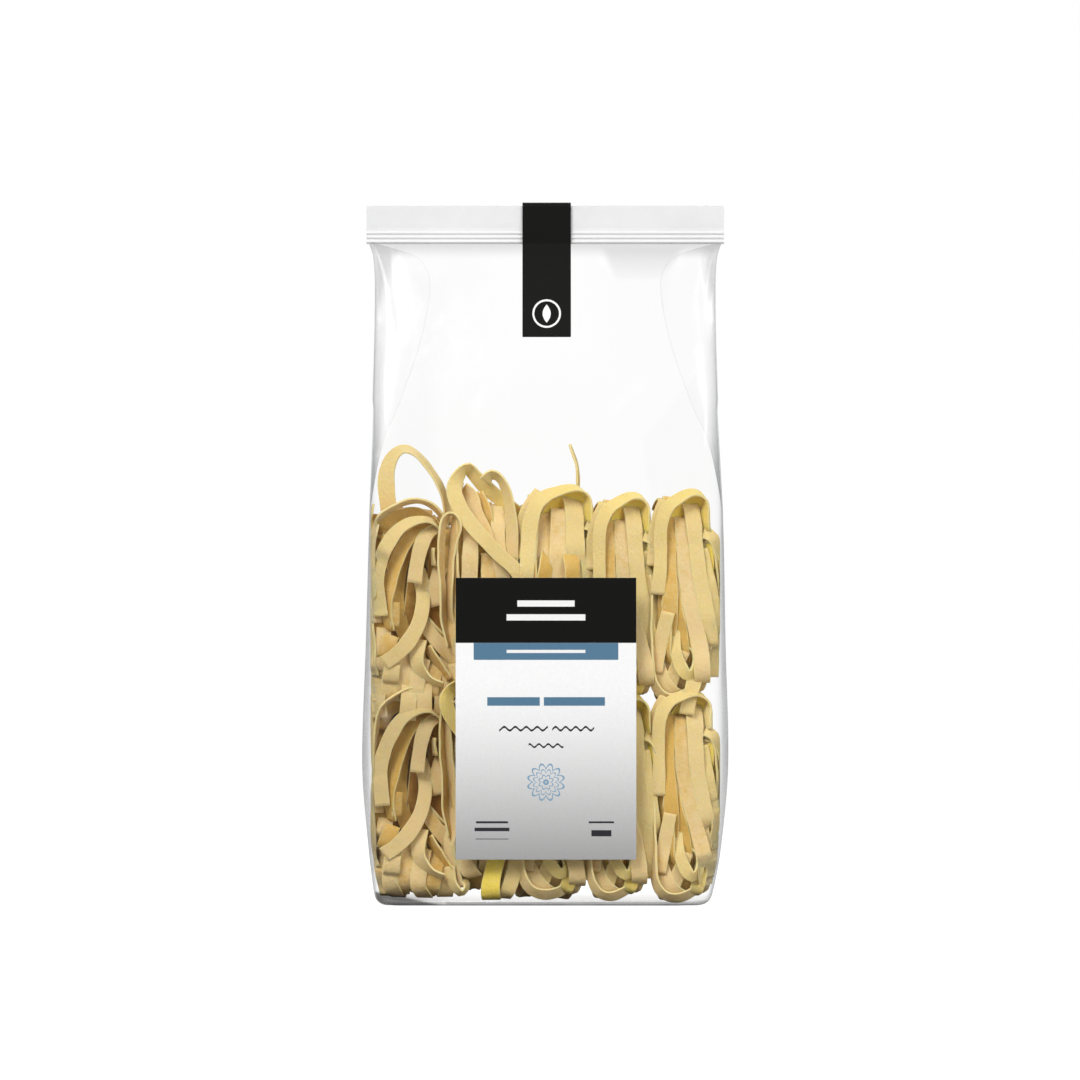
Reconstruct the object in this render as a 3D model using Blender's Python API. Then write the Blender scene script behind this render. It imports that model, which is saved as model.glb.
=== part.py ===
"""Clear side-gusseted bag of dry pasta nests, with a ribbed header, a closing strip and a front label.

Metres, +Z up. The origin is the middle of the face that the bag stands on, and the label faces -Y.
The bag is one solid of its outer form, and its film sinks in between the nests that fill it.
"""

import math
from collections import namedtuple

import bmesh
import bpy

# Bag: the stations give its form from the base up to the header
Station = namedtuple("Station", "z half_width half_depth crown side_fold sway")
STATIONS = (
    Station(0.000, 0.0705, 0.0295, 0.0000, -0.0005, -0.0010),
    Station(0.023, 0.0742, 0.0315, 0.0012, -0.0015, -0.0002),
    Station(0.062, 0.0772, 0.0320, 0.0018, -0.0022, 0.0000),
    Station(0.110, 0.0758, 0.0312, 0.0018, -0.0016, 0.0002),
    Station(0.152, 0.0748, 0.0308, 0.0018, -0.0008, 0.0004),
    Station(0.187, 0.0735, 0.0292, 0.0020, 0.0035, 0.0003),
    Station(0.215, 0.0726, 0.0238, 0.0022, 0.0130, 0.0000),
    Station(0.243, 0.0720, 0.0145, 0.0020, 0.0215, 0.0000),
    Station(0.262, 0.0719, 0.0076, 0.0012, 0.0240, 0.0000),
    Station(0.272, 0.0724, 0.0036, 0.0006, 0.0200, 0.0000),
    Station(0.279, 0.0745, 0.0007, 0.0000, 0.0000, 0.0000),
)
BASE_EDGE_RADIUS = 0.004
BASE_EDGE_STEPS = 3
CORNER_RADIUS = 0.0085
CORNER_SHARE_OF_DEPTH = 0.9
LEVEL_STEP = 0.0075
NECK = 0.240
NECK_LEVEL_STEP = 0.0035
FRONT_STEPS = 30
CORNER_STEPS = 3
SIDE_STEPS = 6

# Nests: where the film sinks in between them, at the front and the back
NEST_COLUMNS = 5
NEST_PITCH = 0.0285
NEST_ROW_HEIGHT = 0.086
NEST_GROOVE = 0.0030
NEST_GROOVE_SHARPNESS = 1.5
NEST_EDGE_FADE = 0.3
NEST_ROW_GROOVE_REACH = 0.014
NESTS_TOP = 0.166
NESTS_TOP_FADE = 0.014
NESTS_FOOT_FADE = 0.012

# Header: the flat sealed band over the bag, with ribs along its foot
HEADER_WIDTH = 0.1505
HEADER_FOOT = 0.278
HEADER_TOP = 0.294
HEADER_HALF_THICKNESS = 0.0007
RIB_COUNT = 3
RIB_PITCH = 0.0022
RIB_PROUD = 0.0004
RIB_START = 0.15
RIB_OUTLINE = ((0.0, 0.0), (0.25, 1.0), (0.50, 1.0), (0.75, 0.0))

# Label and strip: stuck to the bag, and kept just clear of it as solids
STICKER_THICKNESS = 0.0004
STICKER_GAP = 0.0003
STRIP_GAP = 0.00045
LABEL_WIDTH = 0.0756
LABEL_FOOT = 0.0195
LABEL_TOP = 0.1375
LABEL_CENTRE_X = 0.0003
LABEL_STEPS_X = 10
LABEL_STEPS_Z = 14
LABEL_BLEND = 0.008
STRIP_WIDTH = 0.0204
STRIP_CENTRE_X = 0.0006
STRIP_FOOT = 0.2390
STRIP_STEPS = 8
STRIP_FOLD_STEPS = 6

# Finishes: colour, roughness and how clear each one is
FILM = ((0.86, 0.78, 0.52), 0.15, 0.55)
BLACK_PAPER = ((0.012, 0.012, 0.011), 0.45, 1.0)
WHITE_PAPER = ((0.86, 0.86, 0.85), 0.50, 1.0)


def clear_scene():
    """Remove whatever the scene starts with."""
    for obj in list(bpy.data.objects):
        bpy.data.objects.remove(obj)


def eased(t):
    """Smooth step from 0 to 1 as t goes from 0 to 1."""
    t = min(max(t, 0.0), 1.0)
    return t * t * (3.0 - 2.0 * t)


def slopes(field):
    """Slope of one field at each station, chosen so that the curve never overshoots a station."""
    values = [getattr(s, field) for s in STATIONS]
    steps = [
        (values[i + 1] - values[i]) / (STATIONS[i + 1].z - STATIONS[i].z)
        for i in range(len(STATIONS) - 1)
    ]
    inner = [
        2.0 * a * b / (a + b) if a * b > 0.0 else 0.0 for a, b in zip(steps, steps[1:])
    ]
    return [steps[0], *inner, steps[-1]]


SLOPES = {field: slopes(field) for field in Station._fields[1:]}


def at_height(z, field):
    """Value of one station field at height z, on a smooth curve through the stations."""
    i = max(i for i, s in enumerate(STATIONS[:-1]) if i == 0 or s.z <= z)
    low, high = STATIONS[i], STATIONS[i + 1]
    span = high.z - low.z
    t = min(max((z - low.z) / span, 0.0), 1.0)
    rise = (getattr(high, field) - getattr(low, field)) * eased(t)
    bend = t * (1.0 - t) ** 2 * SLOPES[field][i] - t * t * (1.0 - t) * SLOPES[field][i + 1]
    return getattr(low, field) + rise + bend * span


def base_inset(z):
    """How far the round edge at the base pulls the wall in at height z."""
    if z >= BASE_EDGE_RADIUS:
        return 0.0
    rise = BASE_EDGE_RADIUS - z
    return BASE_EDGE_RADIUS - math.sqrt(BASE_EDGE_RADIUS**2 - rise**2)


def label_cover(x, z):
    """1 where the label holds the film flat, falling to 0 around it."""
    beside = eased((abs(x - LABEL_CENTRE_X) - LABEL_WIDTH / 2) / LABEL_BLEND)
    over = eased((z - LABEL_TOP) / LABEL_BLEND)
    under = eased((LABEL_FOOT - z) / LABEL_BLEND)
    return 1.0 - max(beside, over, under)


def nest_groove(x, z):
    """How far the film sinks in between the nests behind it at x across the bag and z up."""
    between = (0.5 - 0.5 * math.cos(2.0 * math.pi * x / NEST_PITCH)) ** NEST_GROOVE_SHARPNESS
    last_crest = (NEST_COLUMNS - 1) / 2
    column = between * (1.0 - eased((abs(x) / NEST_PITCH - last_crest) / NEST_EDGE_FADE))
    row = 1.0 - eased(abs(z - NEST_ROW_HEIGHT) / NEST_ROW_GROOVE_REACH)
    under_top = 1.0 - eased((z - NESTS_TOP) / NESTS_TOP_FADE)
    return NEST_GROOVE * max(column, row) * under_top * eased(z / NESTS_FOOT_FADE)


def wall_depth(x, z, front):
    """Distance from the bag's middle plane to its front or back film at x and z."""
    reach = at_height(z, "half_width")
    crown = at_height(z, "crown") * (1.0 - (x / reach) ** 2)
    held = label_cover(x, z) if front else 0.0
    return at_height(z, "half_depth") - base_inset(z) + crown - nest_groove(x, z) * (1.0 - held)


def cross_section(z):
    """One closed outline of the bag at height z, as (x, y) pairs running anticlockwise."""
    half_depth = at_height(z, "half_depth") - base_inset(z)
    fold = at_height(z, "side_fold")
    half_width = at_height(z, "half_width") - base_inset(z) + min(fold, 0.0)
    radius = min(CORNER_RADIUS, CORNER_SHARE_OF_DEPTH * half_depth)
    flat = half_width - radius
    sway = at_height(z, "sway")
    front = []
    for i in range(FRONT_STEPS + 1):
        x = flat * (2.0 * i / FRONT_STEPS - 1.0)
        front.append((x, -wall_depth(x, z, True)))
    corner_depth = wall_depth(flat, z, True)
    corner = []
    for i in range(1, CORNER_STEPS):
        turn = 0.5 * math.pi * i / CORNER_STEPS
        corner.append((flat + radius * math.sin(turn), -corner_depth + radius * (1.0 - math.cos(turn))))
    side_reach = corner_depth - radius
    side = []
    for i in range(SIDE_STEPS + 1):
        y = side_reach * (2.0 * i / SIDE_STEPS - 1.0)
        inward = 1.0 - abs(2.0 * i / SIDE_STEPS - 1.0)
        if fold < 0.0:
            inward = math.sin(0.5 * math.pi * inward)
        side.append((half_width - fold * inward, y))
    right = corner + side + [(x, -y) for x, y in reversed(corner)]
    back = [(-x, wall_depth(x, z, False)) for x, _ in front]
    left = [(-x, -y) for x, y in right]
    return [(x + sway, y) for x, y in front + right + back + left]


def loft_levels():
    """Heights of the cross-sections: close together round the base edge, then about even."""
    levels = [
        BASE_EDGE_RADIUS * (1.0 - math.cos(0.5 * math.pi * i / BASE_EDGE_STEPS))
        for i in range(BASE_EDGE_STEPS)
    ]
    stops = [BASE_EDGE_RADIUS] + [s.z for s in STATIONS[1:]]
    for low, high in zip(stops, stops[1:]):
        count = math.ceil((high - low) / (NECK_LEVEL_STEP if low > NECK else LEVEL_STEP))
        levels += [low + (high - low) * i / count for i in range(count)]
    return levels + [STATIONS[-1].z]


def material(name, finish):
    """A Principled material of the named finish."""
    colour, roughness, alpha = finish
    made = bpy.data.materials.new(name)
    made.use_nodes = True
    shader = made.node_tree.nodes["Principled BSDF"]
    shader.inputs["Base Color"].default_value = (*colour, 1.0)
    shader.inputs["Roughness"].default_value = roughness
    shader.inputs["Alpha"].default_value = alpha
    return made


def add_object(name, bm, finish=None):
    """Turn a bmesh into a named object, shaded smooth with sharp edges kept."""
    mesh = bpy.data.meshes.new(name)
    bm.normal_update()
    bm.to_mesh(mesh)
    bm.free()
    mesh.shade_smooth()
    mesh.set_sharp_from_angle(angle=math.radians(40.0))
    obj = bpy.data.objects.new(name, mesh)
    bpy.context.scene.collection.objects.link(obj)
    if finish is not None:
        mesh.materials.append(material(name, finish))
    return obj


def loft_bag():
    """The bag below its header: one outline extruded from level to level, and capped."""
    bm = bmesh.new()
    place = bm.verts.layers.int.new("place")
    levels = loft_levels()
    ring = [bm.verts.new((x, y, levels[0])) for x, y in cross_section(levels[0])]
    for i, vert in enumerate(ring):
        vert[place] = i
    base = bm.faces.new(ring)
    edges = list(base.edges)
    for z in levels[1:]:
        made = bmesh.ops.extrude_edge_only(bm, edges=edges)["geom"]
        outline = cross_section(z)
        for vert in (g for g in made if isinstance(g, bmesh.types.BMVert)):
            vert.co = (*outline[vert[place]], z)
        edges = [
            g
            for g in made
            if isinstance(g, bmesh.types.BMEdge) and all(abs(v.co.z - z) < 1e-6 for v in g.verts)
        ]
    bmesh.ops.edgeloop_fill(bm, edges=edges)
    bmesh.ops.recalc_face_normals(bm, faces=bm.faces)
    return bm


def header_profile():
    """Half outline of the header, from its foot up its front, as (thickness, z) pairs."""
    profile = [(HEADER_HALF_THICKNESS, HEADER_FOOT)]
    for i in range(RIB_COUNT):
        foot = HEADER_FOOT + RIB_PITCH * (i + RIB_START)
        for share, proud in RIB_OUTLINE:
            profile.append((HEADER_HALF_THICKNESS + proud * RIB_PROUD, foot + share * RIB_PITCH))
    profile.append((HEADER_HALF_THICKNESS, HEADER_TOP))
    return profile


def extrude_header():
    """The header: its ribbed profile extruded across the bag."""
    bm = bmesh.new()
    profile = header_profile()
    outline = [(-t, z) for t, z in profile] + [(t, z) for t, z in reversed(profile)]
    ring = [bm.verts.new((-HEADER_WIDTH / 2, y, z)) for y, z in outline]
    end = bm.faces.new(ring)
    made = bmesh.ops.extrude_face_region(bm, geom=[end], use_keep_orig=True)["geom"]
    moved = [g for g in made if isinstance(g, bmesh.types.BMVert)]
    bmesh.ops.translate(bm, verts=moved, vec=(HEADER_WIDTH, 0.0, 0.0))
    bmesh.ops.recalc_face_normals(bm, faces=bm.faces)
    return bm


def make_bag():
    """The sealed bag: its lofted body and its header, joined as one solid."""
    bag = add_object("bag", loft_bag(), FILM)
    header = add_object("header_form", extrude_header())
    header.hide_render = True
    header.display_type = "WIRE"
    joined = bag.modifiers.new("join_header", "BOOLEAN")
    joined.operation = "UNION"
    joined.object = header
    return bag


def thicken(obj):
    """Give a sticker's surface its thickness, on the side away from the bag."""
    wall = obj.modifiers.new("thickness", "SOLIDIFY")
    wall.thickness = STICKER_THICKNESS
    wall.offset = 1.0
    wall.use_even_offset = True


def make_label():
    """The front label: a sheet laid on the film, which it holds flat."""
    bm = bmesh.new()
    bmesh.ops.create_grid(bm, x_segments=LABEL_STEPS_X, y_segments=LABEL_STEPS_Z, size=0.5)
    for vert in bm.verts:
        x = LABEL_CENTRE_X + LABEL_WIDTH * vert.co.x
        z = LABEL_FOOT + (LABEL_TOP - LABEL_FOOT) * (vert.co.y + 0.5)
        vert.co = (x, -wall_depth(x, z, True) - STICKER_GAP, z)
    label = add_object("front_label", bm, WHITE_PAPER)
    thicken(label)
    return label


def strip_path():
    """The closing strip's line seen from the side, as (y, z) pairs up the front and over the header."""
    clear = HEADER_HALF_THICKNESS + RIB_PROUD + STICKER_GAP
    front = []
    for i in range(STRIP_STEPS + 1):
        z = STRIP_FOOT + (HEADER_FOOT - STRIP_FOOT) * i / STRIP_STEPS
        depth = wall_depth(STRIP_CENTRE_X, z, True) + STRIP_GAP
        front.append((-max(depth, clear), z))
    fold_height = HEADER_TOP + STICKER_GAP - 0.5 * clear
    fold = []
    for i in range(STRIP_FOLD_STEPS + 1):
        turn = 0.5 * math.pi * i / STRIP_FOLD_STEPS
        fold.append((-clear * math.cos(turn), fold_height + clear * math.sin(turn)))
    return front + fold


def make_strip():
    """The closing strip: folded over the header and down both faces of the bag."""
    path = strip_path()
    path += [(-y, z) for y, z in reversed(path[:-1])]
    bm = bmesh.new()
    left = STRIP_CENTRE_X - STRIP_WIDTH / 2
    line = [bm.verts.new((left, y, z)) for y, z in path]
    edges = [bm.edges.new(pair) for pair in zip(line, line[1:])]
    made = bmesh.ops.extrude_edge_only(bm, edges=edges)["geom"]
    moved = [g for g in made if isinstance(g, bmesh.types.BMVert)]
    bmesh.ops.translate(bm, verts=moved, vec=(STRIP_WIDTH, 0.0, 0.0))
    bm.normal_update()
    if min(bm.faces, key=lambda f: f.calc_center_median().y).normal.y > 0.0:
        bmesh.ops.reverse_faces(bm, faces=bm.faces)
    strip = add_object("closing_strip", bm, BLACK_PAPER)
    thicken(strip)
    return strip


def main():
    """Build the bag, its label and its closing strip."""
    clear_scene()
    make_bag()
    make_label()
    make_strip()


main()
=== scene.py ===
"""A clear gusseted bag of dry pasta nests: its film, header, print and nests, in a pale studio."""

import logging
import math
import random
from dataclasses import dataclass, field
from enum import Enum
from typing import ClassVar

import bmesh
import bpy
import numpy as np
from mathutils import Matrix, Vector
from mathutils.bvhtree import BVHTree


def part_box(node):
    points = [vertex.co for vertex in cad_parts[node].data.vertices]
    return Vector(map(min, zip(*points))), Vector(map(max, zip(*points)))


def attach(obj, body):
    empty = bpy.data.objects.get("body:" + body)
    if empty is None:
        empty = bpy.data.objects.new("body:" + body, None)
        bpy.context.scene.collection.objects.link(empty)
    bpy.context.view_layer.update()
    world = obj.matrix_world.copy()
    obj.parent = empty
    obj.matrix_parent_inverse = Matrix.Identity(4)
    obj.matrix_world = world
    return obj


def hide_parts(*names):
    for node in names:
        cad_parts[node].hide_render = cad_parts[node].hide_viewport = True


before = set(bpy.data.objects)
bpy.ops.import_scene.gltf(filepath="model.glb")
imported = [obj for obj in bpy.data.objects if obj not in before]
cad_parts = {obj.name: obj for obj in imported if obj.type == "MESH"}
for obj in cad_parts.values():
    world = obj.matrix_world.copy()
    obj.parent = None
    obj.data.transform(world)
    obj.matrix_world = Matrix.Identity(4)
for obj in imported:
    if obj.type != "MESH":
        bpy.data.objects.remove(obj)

log = logging.getLogger("pasta_bag")

MM = 0.001
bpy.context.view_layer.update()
BAG_LOW, BAG_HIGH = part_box("bag")
LABEL_LOW, LABEL_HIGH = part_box("front_label")
STRIP_LOW, STRIP_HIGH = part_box("closing_strip")


class Plane(Enum):
    """The upright plane that a strand winds in."""

    FRONTAL = "frontal"
    SIDEWAYS = "sideways"


class NestKind(Enum):
    """The ways that the front of a nest lies, seen through the film."""

    OPEN = "open"
    TOUSLED = "tousled"
    COMBED = "combed"


class Wiring:
    """Adds nodes to one node tree and joins them."""

    def __init__(self, tree: bpy.types.NodeTree) -> None:
        """Take the tree to work in."""
        self.tree = tree

    def feed(self, socket: bpy.types.NodeSocket, value: object) -> None:
        """Link a socket into another, or set the other's value.

        Args:
            socket: the input to feed.
            value: an output socket, a number or a colour.
        """
        if isinstance(value, bpy.types.NodeSocket):
            self.tree.links.new(value, socket)
        else:
            socket.default_value = value

    def add(self, kind: str, inputs: dict | None = None, **settings: object) -> bpy.types.Node:
        """Add one node.

        Args:
            kind: the node's type.
            inputs: what feeds its inputs, by name or index.
            settings: the node's own properties.

        Returns:
            The node.
        """
        node = self.tree.nodes.new(kind)
        for name, value in settings.items():
            setattr(node, name, value)
        for name, value in (inputs or {}).items():
            self.feed(node.inputs[name], value)
        return node

    def math(self, operation: str, a: object, b: object = 0.0, clamp: bool = False) -> bpy.types.NodeSocket:
        """Result of one Math node on two numbers or sockets."""
        node = self.add("ShaderNodeMath", {0: a, 1: b}, operation=operation, use_clamp=clamp)
        return node.outputs[0]

    def blend(self, mask: object, low: object, high: object) -> bpy.types.NodeSocket:
        """Colour that goes from low to high as the mask goes from 0 to 1."""
        node = self.add("ShaderNodeMix", {0: mask, 6: low, 7: high}, data_type="RGBA")
        return node.outputs[2]

    def ramp(
        self, value: object, low: float, high: float, to_low: float = 0.0, to_high: float = 1.0
    ) -> bpy.types.NodeSocket:
        """Map a value smoothly from one range to another, and hold it inside that.

        Args:
            value: the number or socket to map.
            low: where its range starts.
            high: where its range ends.
            to_low: the result at the start.
            to_high: the result at the end.

        Returns:
            The result's socket.
        """
        node = self.add(
            "ShaderNodeMapRange",
            {"Value": value, "From Min": low, "From Max": high, "To Min": to_low, "To Max": to_high},
            interpolation_type="SMOOTHSTEP",
        )
        return node.outputs["Result"]

    def noise(
        self, vector: object, scale: object, detail: float = 2.0, roughness: float = 0.5
    ) -> bpy.types.NodeSocket:
        """Add soft noise between 0 and 1.

        Args:
            vector: the place to read it at.
            scale: how many turns it has in a metre.
            detail: how many finer layers it has.
            roughness: how strong the finer layers are.

        Returns:
            The noise's socket.
        """
        node = self.add(
            "ShaderNodeTexNoise",
            {"Vector": vector, "Scale": scale, "Detail": detail, "Roughness": roughness},
        )
        return node.outputs["Fac"]


def shader_group(name: str, inputs: dict[str, str], output: str) -> tuple:
    """Start a shader node group with named sockets and one output, a number.

    Args:
        name: the group's name.
        inputs: socket type by input name.
        output: name of its output.

    Returns:
        The group's tree, its wiring, its input node and its output node.
    """
    tree = bpy.data.node_groups.new(name, "ShaderNodeTree")
    for label, socket in inputs.items():
        tree.interface.new_socket(name=label, in_out="INPUT", socket_type=f"NodeSocket{socket}")
    tree.interface.new_socket(name=output, in_out="OUTPUT", socket_type="NodeSocketFloat")
    wiring = Wiring(tree)
    return tree, wiring, wiring.add("NodeGroupInput"), wiring.add("NodeGroupOutput")


class SharedEffects:
    """The shader node groups that more than one finish uses."""

    def __init__(self) -> None:
        """Build every group once."""
        self.field = self.make_field()
        self.ring = self.make_ring()
        self.leaf = self.make_leaf()
        self.grain = self.make_grain()

    @staticmethod
    def place(wiring: Wiring, source: bpy.types.Node) -> tuple:
        """Position across and up from a printed shape's own centre.

        Args:
            wiring: the group's wiring.
            source: the group's input node.

        Returns:
            The sockets that hold the distance across and the distance up.
        """
        split = wiring.add("ShaderNodeSeparateXYZ", {0: source.outputs["Position"]})
        across = wiring.math("SUBTRACT", split.outputs["X"], source.outputs["Centre X"])
        up = wiring.math("SUBTRACT", split.outputs["Z"], source.outputs["Centre Z"])
        return across, up

    @staticmethod
    def inked(wiring: Wiring, distance: object) -> bpy.types.NodeSocket:
        """1 inside a printed shape and 0 outside, from the distance outside its edge."""
        edge = 0.00012
        return wiring.math("SUBTRACT", 0.5, wiring.math("DIVIDE", distance, edge), clamp=True)

    def make_field(self) -> bpy.types.NodeTree:
        """A printed rectangle, whose edge can swell in waves.

        Returns:
            The group's tree.
        """
        inputs = dict.fromkeys(
            ("Centre X", "Centre Z", "Half width", "Half height", "Wave height", "Wave pitch"), "Float"
        )
        tree, w, source, result = shader_group("Printed field", {"Position": "Vector", **inputs}, "Mask")
        across, up = self.place(w, source)
        turns = w.math("DIVIDE", across, source.outputs["Wave pitch"])
        wave = w.math("MULTIPLY", w.math("SINE", turns), source.outputs["Wave height"])
        beside = w.math("SUBTRACT", w.math("ABSOLUTE", across), source.outputs["Half width"])
        level = w.math("ABSOLUTE", w.math("SUBTRACT", up, wave))
        above = w.math("SUBTRACT", level, source.outputs["Half height"])
        w.feed(result.inputs["Mask"], self.inked(w, w.math("MAXIMUM", beside, above)))
        return tree

    def make_ring(self) -> bpy.types.NodeTree:
        """A printed ring, whose radius can swell into petals.

        Returns:
            The group's tree.
        """
        inputs = dict.fromkeys(
            ("Centre X", "Centre Z", "Radius", "Half line", "Petals", "Petal depth"), "Float"
        )
        tree, w, source, result = shader_group("Printed ring", {"Position": "Vector", **inputs}, "Mask")
        across, up = self.place(w, source)
        squares = w.math("ADD", w.math("MULTIPLY", across, across), w.math("MULTIPLY", up, up))
        radius = w.math("SQRT", squares)
        angle = w.math("ARCTAN2", up, across)
        half_turns = w.math("MULTIPLY", angle, w.math("MULTIPLY", source.outputs["Petals"], 0.5))
        petal = w.math("SUBTRACT", w.math("ABSOLUTE", w.math("SINE", half_turns)), 0.5)
        swell = w.math("MULTIPLY", petal, source.outputs["Petal depth"])
        line = w.math("SUBTRACT", radius, w.math("ADD", source.outputs["Radius"], swell))
        distance = w.math("SUBTRACT", w.math("ABSOLUTE", line), source.outputs["Half line"])
        w.feed(result.inputs["Mask"], self.inked(w, distance))
        return tree

    def make_leaf(self) -> bpy.types.NodeTree:
        """A printed pointed leaf, standing upright.

        Returns:
            The group's tree.
        """
        inputs = dict.fromkeys(("Centre X", "Centre Z", "Half width", "Half height"), "Float")
        tree, w, source, result = shader_group("Printed leaf", {"Position": "Vector", **inputs}, "Mask")
        across, up = self.place(w, source)
        share = w.math("DIVIDE", up, source.outputs["Half height"])
        body = w.math("SUBTRACT", 1.0, w.math("MULTIPLY", share, share))
        side = w.math("MULTIPLY", body, source.outputs["Half width"])
        w.feed(result.inputs["Mask"], self.inked(w, w.math("SUBTRACT", w.math("ABSOLUTE", across), side)))
        return tree

    @staticmethod
    def make_grain() -> bpy.types.NodeTree:
        """Fine surface relief: two scales of noise added together.

        Returns:
            The group's tree.
        """
        inputs = dict.fromkeys(("Coarse scale", "Fine scale", "Fine share"), "Float")
        tree, w, source, result = shader_group("Surface grain", {"Position": "Vector", **inputs}, "Height")
        coarse = w.noise(source.outputs["Position"], source.outputs["Coarse scale"], 3.0, 0.6)
        fine = w.noise(source.outputs["Position"], source.outputs["Fine scale"], 2.0, 0.6)
        share = w.math("MULTIPLY", fine, source.outputs["Fine share"])
        w.feed(result.inputs["Height"], w.math("ADD", coarse, share))
        return tree


def new_material(name: str) -> tuple[bpy.types.Material, Wiring, bpy.types.Node]:
    """Start a material with one Principled shader.

    Args:
        name: the material's name.

    Returns:
        The material, its wiring and its Principled node.
    """
    material = bpy.data.materials.new(name)
    material.use_nodes = True
    wiring = Wiring(material.node_tree)
    return material, wiring, material.node_tree.nodes["Principled BSDF"]


@dataclass(frozen=True)
class PastaFinish:
    """Dried egg pasta: matte and floury, paler at its cut edges, letting a little light through; its colour
    also carries a painted glow and painted shade.
    """

    pale: tuple = (0.745, 0.580, 0.235, 1.0)
    cream: tuple = (0.760, 0.570, 0.280, 1.0)
    warm: tuple = (0.660, 0.415, 0.095, 1.0)
    # Painted shade: the dark colour of the windings deep inside an open nest.
    deep: tuple = (0.400, 0.195, 0.045, 1.0)
    edge: tuple = (0.800, 0.680, 0.330, 1.0)
    flour: tuple = (0.800, 0.690, 0.400, 1.0)
    painted_glow: tuple = (0.900, 0.700, 0.090, 1.0)
    roughness: float = 0.72
    depth: float = 0.0010
    glow: float = 0.40
    bump: float = 0.00042

    def material(self, effects: SharedEffects) -> bpy.types.Material:
        """Build the material.

        Args:
            effects: the shared groups.

        Returns:
            The material.
        """
        material, w, shader = new_material("dried_pasta")
        place = w.add("ShaderNodeTexCoord").outputs["Object"]
        # The strands' per-point value sets how warm the pasta is, and also paints light and shade: below 0 a
        # painted glow, above 0.95 painted shade.
        tone = w.add("ShaderNodeAttribute", attribute_name="tone").outputs["Fac"]
        across = w.add("ShaderNodeSeparateXYZ", {0: w.add("ShaderNodeUVMap", uv_map="ribbon").outputs[0]})
        mottle = w.noise(place, 260.0, 3.0, 0.6)
        warmth_and_shade = w.math("ADD", tone, w.math("MULTIPLY", w.math("SUBTRACT", mottle, 0.5), 0.55))
        colour = w.blend(w.ramp(warmth_and_shade, 0.0, 0.5), self.pale, self.cream)
        colour = w.blend(w.ramp(warmth_and_shade, 0.40, 0.85), colour, self.warm)
        # Painted glow: strands marked below 0 turn bright gold, as if light shone through them.
        colour = w.blend(w.ramp(tone, 0.0, -0.5, 0.0, 0.9), colour, self.painted_glow)
        speckle = w.ramp(w.noise(place, 1150.0, 4.0, 0.75), 0.48, 0.74, 0.0, 0.62)
        dusted = w.math("MULTIPLY", speckle, w.ramp(tone, 0.4, 0.9, 1.0, 0.45))
        colour = w.blend(dusted, colour, self.flour)
        # Painted shade: above 0.95 the colour runs into the dark deep colour, standing in for the shade
        # inside a nest.
        colour = w.blend(w.ramp(warmth_and_shade, 0.95, 1.5), colour, self.deep)
        off_middle = w.math("ABSOLUTE", w.math("SUBTRACT", across.outputs["Y"], 0.5))
        colour = w.blend(w.ramp(off_middle, 0.44, 0.5, 0.0, 0.8), colour, self.edge)
        scales = {"Position": place, "Coarse scale": 700.0, "Fine scale": 2600.0, "Fine share": 0.5}
        grain = w.add("ShaderNodeGroup", node_tree=effects.grain)
        for name, value in scales.items():
            w.feed(grain.inputs[name], value)
        bump = w.add("ShaderNodeBump", {"Height": grain.outputs[0], "Distance": self.bump, "Strength": 0.8})
        w.feed(shader.inputs["Base Color"], colour)
        w.feed(shader.inputs["Normal"], bump.outputs[0])
        shader.inputs["Roughness"].default_value = self.roughness
        shader.inputs["Specular IOR Level"].default_value = 0.25
        shader.inputs["Subsurface Weight"].default_value = self.glow
        shader.inputs["Subsurface Radius"].default_value = (1.0, 0.62, 0.20)
        shader.inputs["Subsurface Scale"].default_value = self.depth
        return material


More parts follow.
